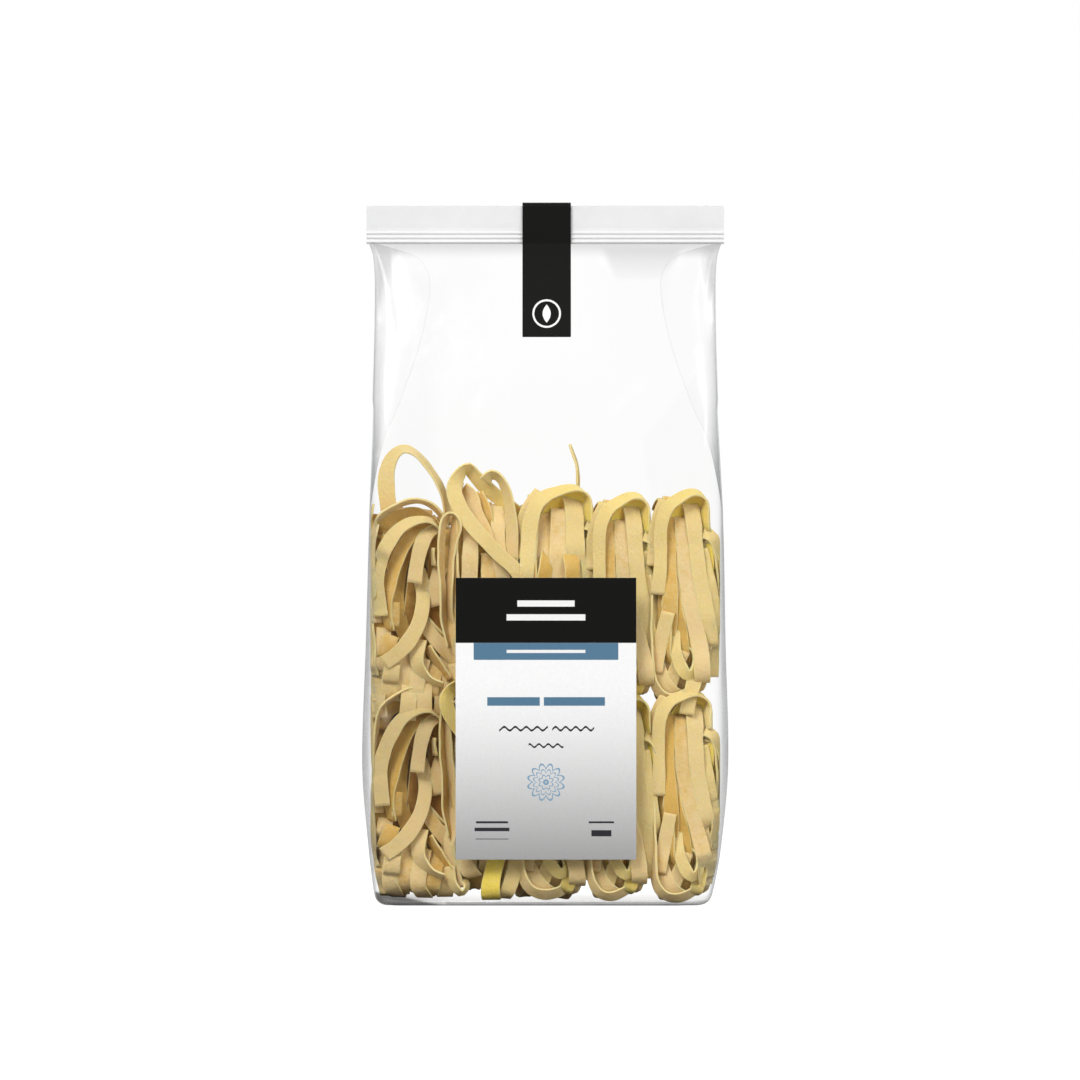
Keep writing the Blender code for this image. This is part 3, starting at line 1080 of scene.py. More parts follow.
@dataclass
class Header:
    """The sealed header: a flat band with fine ribs along its foot, a little wavy across."""

    half_width: float = 0.07525
    foot: float = 0.2779
    top: float = BAG_HIGH.z
    half_thickness: float = 0.0006
    ribs: int = 3
    rib_pitch: float = 0.00185
    rib_height: float = 0.0005
    rib_steps: int = 8
    plain_steps: int = 6
    columns: int = 120
    wave: float = 0.00012
    seed: int = 5

    def profile(self) -> list[tuple]:
        """The front of the header from its foot up.

        Returns:
            The distance out and the height of each point.
        """
        points = []
        steps = self.ribs * self.rib_steps
        for i in range(steps + 1):
            swell = 0.5 - 0.5 * math.cos(2.0 * math.pi * i / self.rib_steps)
            height = self.foot + self.ribs * self.rib_pitch * i / steps
            points.append((self.half_thickness * 0.8 + self.rib_height * swell, height))
        start = points[-1][1]
        for i in range(1, self.plain_steps + 1):
            points.append((self.half_thickness, start + (self.top - start) * i / self.plain_steps))
        return points

    def build(self, finish: HeaderFinish) -> bpy.types.Object:
        """Build and dress the header.

        Args:
            finish: the sealed film's finish.

        Returns:
            The header's object.
        """
        bm = bmesh.new()
        front = self.profile()
        outline = [(-t, z) for t, z in front] + [(t, z) for t, z in reversed(front)]
        ring_verts = [bm.verts.new((-self.half_width, y, z)) for y, z in outline]
        end = bm.faces.new(ring_verts)
        step = 2.0 * self.half_width / self.columns
        section = [end]
        for _ in range(self.columns):
            made = bmesh.ops.extrude_face_region(bm, geom=section, use_keep_orig=section[0] is end)["geom"]
            moved = [g for g in made if isinstance(g, bmesh.types.BMVert)]
            section = [g for g in made if isinstance(g, bmesh.types.BMFace)]
            bmesh.ops.translate(bm, verts=moved, vec=(step, 0.0, 0.0))
        bmesh.ops.recalc_face_normals(bm, faces=bm.faces)
        draw = random.Random(self.seed)
        waves = [(draw.uniform(20.0, 110.0), draw.uniform(0.0, 6.0)) for _ in range(4)]
        for vert in bm.verts:
            bend = sum(math.sin(rate * vert.co.x + start) for rate, start in waves)
            vert.co.y += self.wave * bend * min(1.0, (vert.co.z - self.foot) / 0.01)
        mesh = bpy.data.meshes.new("sealed_header")
        bm.to_mesh(mesh)
        bm.free()
        mesh.shade_smooth()
        mesh.set_sharp_from_angle(angle=math.radians(50.0))
        return link("sealed_header", mesh, finish.material())


def through(knots: np.ndarray, spacing: float) -> np.ndarray:
    """A smooth line through every knot, read off at an even spacing.

    Args:
        knots: rows of x, y, z and turn.
        spacing: distance between the points that come back, in the knots' own units.

    Returns:
        Rows of x, y, z and turn along the line.
    """
    ends = np.vstack([2 * knots[0] - knots[1], knots, 2 * knots[-1] - knots[-2]])
    share = np.linspace(0.0, 1.0, 12, endpoint=False)[:, None]
    pieces = []
    for a, b, c, d in zip(ends, ends[1:], ends[2:], ends[3:]):
        pieces.append(
            0.5
            * (
                2 * b
                + (c - a) * share
                + (2 * a - 5 * b + 4 * c - d) * share**2
                + (3 * b - a - 3 * c + d) * share**3
            )
        )
    dense = np.vstack([*pieces, knots[-1:]])
    reach = np.concatenate([[0.0], np.cumsum(np.linalg.norm(np.diff(dense[:, :3], axis=0), axis=1))])
    count = max(4, int(round(reach[-1] / spacing)))
    wanted = np.linspace(0.0, reach[-1], count + 1)
    return np.column_stack([np.interp(wanted, reach, column) for column in dense.T])


def unit(rows: np.ndarray) -> np.ndarray:
    """Rows scaled to length 1."""
    return rows / np.maximum(np.linalg.norm(rows, axis=1, keepdims=True), 1e-9)


@dataclass
class Ribbon:
    """One strand of pasta: its middle line, and how its face turns along it. Millimetres and radians."""

    knots: list
    plane: Plane = Plane.FRONTAL
    held: float = 0.30
    width: float = 6.3
    tones_and_shading: tuple = (0.3, 0.3)
    points: np.ndarray = field(default=None, repr=False)
    turns: np.ndarray = field(default=None, repr=False)

    spacing: ClassVar[float] = 2.3
    thickness: ClassVar[float] = 0.95
    softened: ClassVar[float] = 0.16
    fine: ClassVar[float] = 1.5
    swelling: ClassVar[float] = 0.045
    cupping: ClassVar[float] = 0.22
    lapping: ClassVar[float] = 0.16

    def __post_init__(self) -> None:
        """Lay the smooth line through the knots."""
        line = through(np.array(self.knots, float), self.spacing)
        self.points = line[:, :3]
        self.turns = np.radians(line[:, 3])

    def frames(self) -> tuple[np.ndarray, np.ndarray]:
        """Work out how the ribbon lies at each point.

        Returns:
            The directions across the ribbon, and those out of its face.
        """
        tangent = unit(np.gradient(self.points, axis=0))
        if self.plane is Plane.SIDEWAYS:
            across = np.array([1.0, 0.0, 0.0]) - tangent[:, :1] * tangent
        else:
            across = np.cross(tangent, [0.0, 1.0, 0.0])
        for i in range(1, len(across)):
            if np.linalg.norm(across[i]) < 0.25:
                across[i] = across[i - 1]
            if across[i] @ across[i - 1] < 0.0:
                across[i] = -across[i]
        across = unit(across - (across * tangent).sum(axis=1, keepdims=True) * tangent)
        deep = np.cross(tangent, across)
        turn = self.turns[:, None]
        wide = np.cos(turn) * across + np.sin(turn) * deep
        return wide, np.cross(tangent, wide)

    def cut(self) -> bmesh.types.BMesh:
        """Cut the strand's solid: a straight ribbon with softened edges, laid along its line.

        Returns:
            The solid in millimetres, with its tone and its own texture coordinates.
        """
        line = through(np.column_stack([self.points, self.turns]), self.fine)
        self.points = line[:, :3]
        self.turns = line[:, 3]
        bm = bmesh.new()
        tone = bm.verts.layers.float.new("tone")
        uv = bm.loops.layers.uv.new("ribbon")
        segments = len(self.points) - 1
        size = Matrix.Diagonal((segments, self.width, 1.0, 1.0))
        bmesh.ops.create_grid(bm, x_segments=segments, y_segments=1, size=0.5, matrix=size)
        bmesh.ops.solidify(bm, geom=bm.faces[:], thickness=self.thickness)
        half = self.width / 2
        along = [e for e in bm.edges if self.lengthwise(e)]
        rims = [e for e in along if all(abs(v.co.y) > half - 0.01 for v in e.verts)]
        bmesh.ops.bevel(
            bm,
            geom=rims,
            offset=self.softened,
            offset_type="OFFSET",
            segments=1,
            profile=0.5,
            affect="EDGES",
            material=-1,
        )
        for edge in bm.edges:
            edge.smooth = not self.lengthwise(edge)
        bmesh.ops.recalc_face_normals(bm, faces=bm.faces)
        for face in bm.faces:
            face.smooth = True
        wide, out = self.frames()
        middle = sum(v.co.z for v in bm.verts) / len(bm.verts)
        draw = random.Random(round(self.points[0, 0] * 31.0 + self.points[-1, 2] * 7.0))
        ruffle = [draw.uniform(0.0, 6.28) for _ in range(4)]
        for face in bm.faces:
            for loop in face.loops:
                place = loop.vert.co
                loop[uv].uv = (place.x * self.fine / 10.0, place.y / self.width + 0.5)
        for vert in bm.verts:
            step = min(max(int(round(vert.co.x + segments / 2)), 0), segments)
            along = vert.co.x * self.fine
            quick, slow = math.sin(0.31 * along + ruffle[0]), math.sin(0.13 * along + ruffle[1])
            swell = 1.0 + self.swelling * quick * slow
            cup = self.cupping * math.sin(0.27 * along + ruffle[2]) * (vert.co.y / self.width) ** 2 * 4.0
            lap = self.lapping * math.sin(0.62 * along + ruffle[3]) * vert.co.y / self.width
            rise = vert.co.z - middle + cup + lap
            vert.co = self.points[step] + wide[step] * vert.co.y * swell + out[step] * rise
            vert[tone] = self.tones_and_shading[0] + (self.tones_and_shading[1] - self.tones_and_shading[0]) * step / segments
        return bm

    @staticmethod
    def lengthwise(edge: bmesh.types.BMEdge) -> bool:
        """Whether an edge of the straight ribbon runs along it."""
        a, b = edge.verts
        return abs(a.co.x - b.co.x) > 0.5


def joined(ribbons: list[Ribbon]) -> bmesh.types.BMesh:
    """Cut strands and put them together, each still a solid of its own.

    Args:
        ribbons: the strands.

    Returns:
        All of them, in millimetres.
    """
    whole = bmesh.new()
    whole.verts.layers.float.new("tone")
    whole.loops.layers.uv.new("ribbon")
    for ribbon in ribbons:
        bm = ribbon.cut()
        part = bpy.data.meshes.new("strand")
        bm.to_mesh(part)
        bm.free()
        whole.from_mesh(part)
        bpy.data.meshes.remove(part)
    return whole


@dataclass
class Nest:
    """One nest: the strands that show at its front, and the windings behind them. Millimetres."""

    kind: NestKind
    seed: int = 0
    height: float = 88.0
    half_depth: float = 26.0
    windings: int = 14
    winding_length: float = 300.0
    winding_foot: float = 3.0
    winding_head: float = 6.0
    squeeze: float = 1.0
    rounds: int = 48
    recount: int = 6
    reach: float = 4.6
    neighbourhood: float = 7.6
    flat_gap: float = 1.15
    crossed_gap: float = 1.1
    push_share: float = 0.45
    longest_push: float = 0.6
    spring: float = 0.12
    front_room: float = 8.0
    side_room: float = 1.5
    least_height: float = 0.8
    firm: float = 0.1
    own_stretch: int = 4
    side_share: float = 0.85
    side_margin: float = 2.2
    widest_drift: float = 5.0
    angle_step: float = 0.3
    ribbons: list = field(default_factory=list)

    @property
    def front_gap(self) -> float:
        """How far the windings stay behind the nest's front, by its kind."""
        return {NestKind.OPEN: 10.0, NestKind.TOUSLED: 5.0, NestKind.COMBED: 4.0}[self.kind]

    @property
    def winding_tones_and_shade(self) -> tuple[float, float]:
        """The range of the windings' colour, which runs into painted shade in an open nest."""
        return (0.85, 1.45) if self.kind is NestKind.OPEN else (0.55, 0.95)

    @property
    def half_width(self) -> float:
        """Half of the nest's width across the bag, by its kind."""
        return {NestKind.OPEN: 15.6, NestKind.TOUSLED: 14.4, NestKind.COMBED: 13.8}[self.kind]

    def strands(self) -> list[Ribbon]:
        """The strands at the front, by the nest's kind."""
        return {
            NestKind.OPEN: open_strands,
            NestKind.TOUSLED: tousled_strands,
            NestKind.COMBED: combed_strands,
        }[self.kind]()

    def winding(self, draw: random.Random, index: int) -> Ribbon:
        """One long strand wound round the nest in an upright loop from front to back.

        Args:
            draw: the nest's random draws.
            index: which winding it is.

        Returns:
            The ribbon.
        """
        layer = (index + 0.5) / self.windings
        size = 1.0 - 0.50 * layer**1.3 + draw.uniform(-0.05, 0.05)
        spread = self.half_width * self.squeeze * self.side_share
        x = (2.0 * ((index * 0.618 + draw.random() * 0.2) % 1.0) - 1.0) * spread
        limit = self.half_width * self.squeeze - self.side_margin
        drift = draw.uniform(-self.widest_drift, self.widest_drift)
        wobble = [draw.uniform(0.0, 2.0 * math.pi) for _ in range(6)]
        half_height = (self.height - self.winding_foot - self.winding_head) / 2
        middle = self.winding_foot + half_height
        whole_turns = round(self.winding_length / (5.2 * half_height * size))
        start = draw.uniform(-0.9, 0.9)
        end = start + 2.0 * math.pi * whole_turns + draw.uniform(-0.6, 0.6)
        steps = round((end - start) / self.angle_step)
        knots = []
        for i in range(steps + 1):
            share = i / steps
            angle = start + (end - start) * share
            slow, quick = math.sin(3.0 * angle + wobble[0]), math.sin(5.0 * angle + wobble[1])
            swell = size * (1.0 + 0.07 * slow + 0.04 * quick)
            reach = self.half_depth if math.cos(angle) > 0.0 else self.half_depth - self.front_gap
            y = reach * math.copysign(abs(math.cos(angle)) ** 0.8, math.cos(angle)) * swell
            z = middle + half_height * math.copysign(abs(math.sin(angle)) ** 0.85, math.sin(angle)) * swell
            side = x + drift * (share - 0.5)
            side += 2.6 * math.sin(2.0 * angle + wobble[2]) + 1.6 * math.sin(5.0 * angle + wobble[3])
            turn = 26.0 * math.sin(2.0 * angle + wobble[4]) + 16.0 * math.sin(3.0 * angle + wobble[5])
            knots.append((limit * math.tanh(side / limit), y, z, turn))
        tone = draw.uniform(*self.winding_tones_and_shade)
        return Ribbon(knots, Plane.SIDEWAYS, held=0.05, tones_and_shading=(tone, tone))

    def neighbours(self, now: np.ndarray, owner: np.ndarray, order: np.ndarray) -> tuple:
        """Find the points that may touch, leaving out those close along one strand.

        Args:
            now: where the points are.
            owner: which strand each belongs to.
            order: each point's place along its strand.

        Returns:
            The index of one point of each pair, and that of the other.
        """
        square = (now**2).sum(axis=1)
        apart = square[:, None] + square - 2.0 * now @ now.T
        near = apart < self.neighbourhood**2
        near &= (owner[:, None] != owner) | (np.abs(order[:, None] - order) > self.own_stretch)
        return np.nonzero(near)

    def settle(self) -> None:
        """Ease the strands off each other until they lie one on another, as far as the rounds allow."""
        ribbons = self.ribbons
        owner = np.concatenate([np.full(len(r.points), k) for k, r in enumerate(ribbons)])
        order = np.concatenate([np.arange(len(r.points)) for r in ribbons])
        held = np.concatenate([np.full(len(r.points), r.held) for r in ribbons]).astype(np.float32)
        splits = np.cumsum([len(r.points) for r in ribbons])[:-1]
        start = np.concatenate([r.points for r in ribbons]).astype(np.float32)
        moved = np.zeros_like(start)
        for turn in range(self.rounds):
            now = start + moved
            for ribbon, rows in zip(ribbons, np.split(now, splits)):
                ribbon.points = rows.astype(float)
            frames = [r.frames() for r in ribbons]
            wide = np.concatenate([f[0] for f in frames]).astype(np.float32)
            out = np.concatenate([f[1] for f in frames]).astype(np.float32)
            if turn % self.recount == 0:
                one, other = self.neighbours(now, owner, order)
            between = now[other] - now[one]
            above = (between * out[one]).sum(axis=1)
            crossed = np.abs((out[one] * wide[other]).sum(axis=1))
            short = self.flat_gap + self.crossed_gap * crossed - np.abs(above)
            touching = (short > 0.0) & ((between**2).sum(axis=1) - above**2 < self.reach**2)
            push = np.bincount(one[touching], (-np.sign(above) * short)[touching], len(now))
            push /= np.maximum(np.bincount(one[touching], minlength=len(now)), 1) ** 0.7
            shift = out * np.clip(self.push_share * push, -self.longest_push, self.longest_push)[:, None]
            moved = (moved + shift) * (1.0 - self.spring * held)[:, None]
            moved = np.concatenate([self.smoothed(rows) for rows in np.split(moved, splits)])
            moved += self.inside(start + moved, held) - (start + moved)
        for ribbon, rows in zip(ribbons, np.split(start + moved, splits)):
            ribbon.points = rows.astype(float)

    @staticmethod
    def smoothed(rows: np.ndarray) -> np.ndarray:
        """Rows averaged a little with their neighbours along a strand."""
        padded = np.vstack([rows[:1], rows, rows[-1:]])
        return 0.25 * padded[:-2] + 0.5 * padded[1:-1] + 0.25 * padded[2:]

    def inside(self, rows: np.ndarray, held: np.ndarray) -> np.ndarray:
        """Keep the strands within the nest's own room in the bag.

        Args:
            rows: where the points are.
            held: how firmly each keeps its place, which is least for the windings.

        Returns:
            The points, moved in where they were outside.
        """
        windings = self.half_width * self.squeeze + self.side_room
        side = np.where(held > self.firm, self.half_width + self.front_room, windings)
        depth = self.half_depth + self.side_room
        kept = rows.copy()
        kept[:, 0] = np.clip(rows[:, 0], -side, side)
        kept[:, 1] = np.clip(rows[:, 1], -depth, depth)
        kept[:, 2] = np.maximum(rows[:, 2], self.least_height)
        return kept

    def build(self) -> bpy.types.Mesh:
        """Wind, settle and cut the nest.

        Returns:
            The nest's mesh in millimetres, its foot at the origin.
        """
        draw = random.Random(self.seed)
        front = self.strands()
        for ribbon in front:
            ribbon.points[:, 0] *= self.squeeze
            ribbon.width *= self.squeeze**0.8
        self.ribbons = front + [self.winding(draw, i) for i in range(self.windings)]
        self.settle()
        whole = joined(self.ribbons)
        mesh = bpy.data.meshes.new(f"nest_{self.kind.value}")
        whole.to_mesh(mesh)
        whole.free()
        log.info("%s nest: %d strands, %d faces", self.kind.value, len(self.ribbons), len(mesh.polygons))
        return mesh


def strand(
    rows: list,
    tone: float | tuple = 0.3,
    held: float = 0.4,
    width: float = 6.3,
    plane: Plane = Plane.FRONTAL,
) -> Ribbon:
    """Lay a ribbon at the front of a nest, which winds across the front unless it is told otherwise.

    Args:
        rows: x, z, depth from the front and turn in degrees of each knot.
        tone: how warm its colour is, with a painted glow below 0 as if light shone through it and painted
            shade above 0.95; one value, or one for each end.
        held: how firmly it keeps its place.
        width: the ribbon's width.
        plane: the plane that it winds in.

    Returns:
        The ribbon.
    """
    front = -26.2
    knots = [(x, front + depth, z, turn) for x, z, depth, turn in rows]
    return Ribbon(knots, plane, held, width, tone if isinstance(tone, tuple) else (tone, tone))


def sideways(rows: list, tone: float | tuple = 0.3, held: float = 0.4, width: float = 6.3) -> Ribbon:
    """A ribbon at the front of a nest that winds from front to back; its values are those of strand()."""
    return strand(rows, tone, held, width, Plane.SIDEWAYS)


def foot_turns() -> list[Ribbon]:
    """The strands that turn under the foot of an open nest, side by side.

    Returns:
        The ribbons, from left to right.
    """
    turns = (
        (-14.0, 34, 5.6, 1.6, 0.30),
        (-8.9, 25, 4.2, 1.2, 0.18),
        (-3.6, 23, 5.4, -1.0, 0.42),
        (2.2, 21, 3.8, 1.4, 0.30),
        (8.0, 19, 5.0, -1.2, 0.48),
        (14.0, 30, 5.6, -1.0, 0.36),
    )
    made = []
    for x, top, near, bend, tone in turns:
        knots = [
            (x + 1.8, top, near + 2.4, 0),
            (x + 0.2, 0.62 * top, near, 0),
            (x - 0.4, 0.26 * top, near + 0.2, 0),
            (x + bend, 2.0, near + 3.4, 0),
            (x + bend * 1.6, 1.0, near + 9.0, 0),
        ]
        made.append(sideways(knots, tone, 0.35, 6.4))
    return made


def open_strands() -> list[Ribbon]:
    """The front of a nest whose loops open to the left, with a long band falling across them.

    Returns:
        The ribbons.
    """
    return [
        strand([(-16.0, 36, 6, 50), (-16.8, 50, 5, 60), (-16.3, 62, 4, 66), (-14.6, 71, 4, 70),
                (-11.2, 79, 4, 72), (-5.0, 84, 4, 74), (1.7, 86, 5, 74), (7.9, 84.6, 7, 72),
                (13.0, 79.6, 9, 70), (15.8, 72, 12, 66)], 0.30),
        strand([(-13.4, 39, 3, 0), (-14.2, 47.5, 2.5, -2), (-14.3, 55.4, 2, -6), (-11.4, 63.8, 1, -12),
                (-7.4, 70, 0.5, -22), (-3.2, 74.6, 0.6, -38), (1.9, 77.4, 1.4, -54), (7.3, 77.6, 2.4, -74),
                (11.6, 75.0, 4, -96), (13.4, 70, 6, -112)], (0.10, 0.0), 0.45),
        strand([(-9.0, 33, 7, -58), (-9.6, 41, 6, -48), (-9.2, 48, 5, -38), (-6.8, 57, 5, -32),
                (-2.6, 66, 5.5, -30), (2.2, 72, 6, -34), (7.0, 76, 7.5, -50), (11.0, 76, 10, -60)], 0.65),
        strand([(11.0, 75.6, 6, 30), (7.4, 72.2, 4, 14), (4.8, 66, 3.2, 4), (3.1, 58.8, 3, 0),
                (1.9, 52.2, 3, 0)], 0.20, 0.45),
        strand([(3.6, 57, 7, 0), (5.4, 50.9, 6, 0), (5.2, 44.2, 4.5, 0), (2.8, 36.4, 3, -2),
                (-2.2, 28, 1.5, -4), (-7.6, 21.5, 1, -4), (-12.0, 18.0, 1, 0)], 0.10, 0.45),
        strand([(15.4, 25.8, 3, 62), (14.5, 41.8, 1.6, 66), (13.5, 58.6, 1, 70), (13.0, 72.8, 1, 72),
                (14.0, 78.4, 1, 76), (16.4, 80.8, 1, 80), (19.0, 78.6, 1.5, 76), (20.0, 74, 2, 72),
                (18.6, 67.4, 3, 68), (17.4, 60, 3.6, 66), (17.2, 47.6, 4, 66), (17.0, 36, 4.5, 66),
                (18.6, 22, 5, 60)], 0.45, 0.45),
        strand([(13.2, 58, 7, 30), (11.0, 52, 5.6, 22), (9.6, 47.6, 5, 18), (10.6, 42.6, 5.6, 20)],
               0.35, 0.4),
        strand([(9.7, 66, 4, 74), (9.9, 62.2, 4, 76), (10.3, 58.6, 4, 74)], 0.10, 0.5),
        strand([(-7.4, 45, 5, -18), (-7.8, 39.6, 5, -24), (-8.2, 34.4, 6, -34)], 0.55, 0.5, 4.4),
        strand([(-9.0, 30.6, 5.5, 8), (-10.6, 26, 5, 4), (-12.2, 20.6, 5.5, 0)], 0.60, 0.5),
        strand([(4.8, 37, 8, 10), (9.6, 29.5, 6, 8), (15.2, 23.4, 5.5, 6), (19.6, 18.6, 5, 4)], 0.40, 0.4),
        strand([(6.8, 37, 9, 60), (11.0, 32.4, 8, 62), (14.6, 28.4, 8, 64)], 0.30),
        strand([(3.2, 29, 6, 24), (1.7, 22.2, 4, 26), (2.4, 15.6, 2.6, 40), (6.2, 11.2, 2, 62),
                (12.8, 10.0, 2, 74)], 0.12, 0.4),
        strand([(7.2, 26.4, 7, 58), (10.4, 19.2, 5.5, 62), (14.6, 11.4, 4, 66)], 0.55, 0.4),
        strand([(-8.6, 17.4, 2.4, 0), (-8.6, 12.8, 2.2, 0), (-8.8, 9.4, 3.4, 0)], 0.15, 0.4),
        *foot_turns(),
        strand([(-17.2, 84, 13, 62), (-17.8, 64, 9, 66), (-17.6, 46, 7.4, 66), (-17.0, 28, 7.4, 62),
                (-16.0, 12, 8, 56)], 0.05, 0.4),
        sideways([(-13.6, 80, 14, 0), (-14.4, 68, 12, 0), (-14.8, 50, 10, 0), (-14.4, 34, 10, 0),
                  (-13.6, 20, 10, 0)], 0.80, 0.3),
        sideways([(17.0, 74, 9, 0), (17.4, 58, 8, 0), (17.0, 42, 8, 0), (16.4, 26, 8.4, 0),
                  (15.0, 12, 9, 0)], 0.6, 0.3),
        strand([(-13.0, 70, 9, 10), (-10.0, 77, 8, 20), (-4.0, 80, 9, 30), (3.0, 80, 10, 20),
                (9.0, 74, 11, 10), (11.0, 62, 12, 0), (9.0, 48, 12, 0), (6.0, 36, 12, 10)], 0.70),
        strand([(0.0, 70, 11, -20), (-4.0, 60, 10, -24), (-6.0, 48, 10, -20), (-5.0, 36, 10, -10),
                (-1.0, 26, 10, 0), (4.0, 18, 10, 6)], 0.80),
    ]


def tousled_strands() -> list[Ribbon]:
    """The front of a nest with a strand bent to a peak over its top and a band slanting across it.

    Returns:
        The ribbons.
    """
    return [
        strand([(17.0, 46, 2, 0), (10.3, 55.2, 1, -2), (3.4, 61.6, 0.6, -4), (-3.4, 68.9, 0.4, -4),
                (-9.4, 76.2, 0.4, -2), (-13.8, 83.6, 1, 4), (-15.4, 89.9, 2, 14), (-13.6, 94.6, 3, 30),
                (-10.0, 97.6, 5, 46), (-7.0, 95, 7, 34), (-3.0, 90.8, 8, 24), (2.2, 86.2, 9, 20),
                (7.4, 82.0, 10, 22), (12.8, 77.8, 11, 26), (16.0, 70.5, 12, 30)], (0.02, -0.42), 0.4),
        strand([(-2.6, 92.0, 4, 30), (0.4, 95.0, 4, 52), (4.4, 93, 4, 60), (7.0, 87.6, 4, 54),
                (8.6, 80.6, 4, 44), (9.2, 72, 4.5, 34), (8.8, 62, 5, 24), (8.6, 50, 5.5, 16),
                (9.6, 38, 6, 10)], (-0.2, 0.5), 0.4),
        strand([(-11.6, 90, 8, 40), (-8.2, 86, 7, 20), (-6.8, 80, 6, 10), (-3.4, 73, 5, 6),
                (-1.0, 66, 5, 4)], 0.35),
        strand([(-5.6, 87, 9, 30), (-2.4, 80, 8, 24), (-0.8, 72, 8, 20), (0.6, 62, 8, 10)], 0.60),
        sideways([(2.4, 83, 12, 0), (3.2, 77.4, 7, 0), (2.8, 70, 5.4, 0), (3.4, 62, 5, 0), (5.0, 52, 5, 0),
                  (5.6, 40, 5, 0)], 0.20),
        sideways([(-8.8, 76, 12, 0), (-8.4, 71, 6, 0), (-8.2, 62, 4, 0), (-8.2, 51, 3.6, 0),
                  (-8.4, 40, 3.6, 0), (-8.0, 28, 4, 0), (-7.4, 19, 5, 0), (-6.4, 13.0, 8, 0)], 0.30),
        strand([(-1.2, 62, 8, 0), (-0.6, 52, 5, 0), (0.0, 40, 4, 4), (1.0, 28, 4, 6), (0.4, 18, 4.4, 0),
                (-0.4, 12.4, 7, 0)], 0.45),
        strand([(13.6, 82, 12, 20), (14.6, 74, 8, 14), (13.8, 64, 6, 10), (13.6, 54, 5, 6),
                (13.6, 40, 5, 0), (12.6, 24, 5, 0), (10.0, 8, 6, 0), (7.0, 1.6, 9, 0)], 0.35),
        strand([(-14.0, 92, 7, 50), (-15.4, 84, 5, 58), (-15.2, 74, 4.6, 62), (-14.6, 62, 5, 60),
                (-14.2, 50, 5, 56), (-13.8, 36, 5, 50), (-13.0, 20, 5, 40), (-11.0, 6, 6, 30)], 0.40),
        sideways([(-10.6, 78, 13, 0), (-11.4, 75, 8, 0), (-12.0, 68, 6.4, 0), (-12.2, 54, 6, 0),
                  (-12.0, 40, 6, 0), (-11.0, 24, 6, 0)], 0.6, 0.3),
        sideways([(-12.0, 27, 4.4, 0), (-9.4, 19, 3.0, 0), (-6.2, 13.4, 3.4, 0), (-3.6, 11.4, 7, 0)],
                 0.40),
        sideways([(5.6, 26, 5, 0), (3.4, 15, 3.2, 0), (2.4, 7, 2.6, 0), (2.8, 1.6, 5.4, 0),
                  (3.2, 1.0, 12, 0)], -0.55, 0.4, 7.4),
        sideways([(12.6, 24, 5.6, 0), (11.6, 13, 4.4, 0), (9.4, 4.4, 5, 0), (7.6, 1.6, 9, 0)], 0.15),
        strand([(-13.8, 16, 4.4, 30), (-12.6, 8, 3.6, 44), (-9.0, 3.4, 3.8, 56), (-7.4, 7.0, 5.4, 66),
                (-9.4, 10.4, 6.4, 60)], 0.12, 0.4, 4.6),
    ]


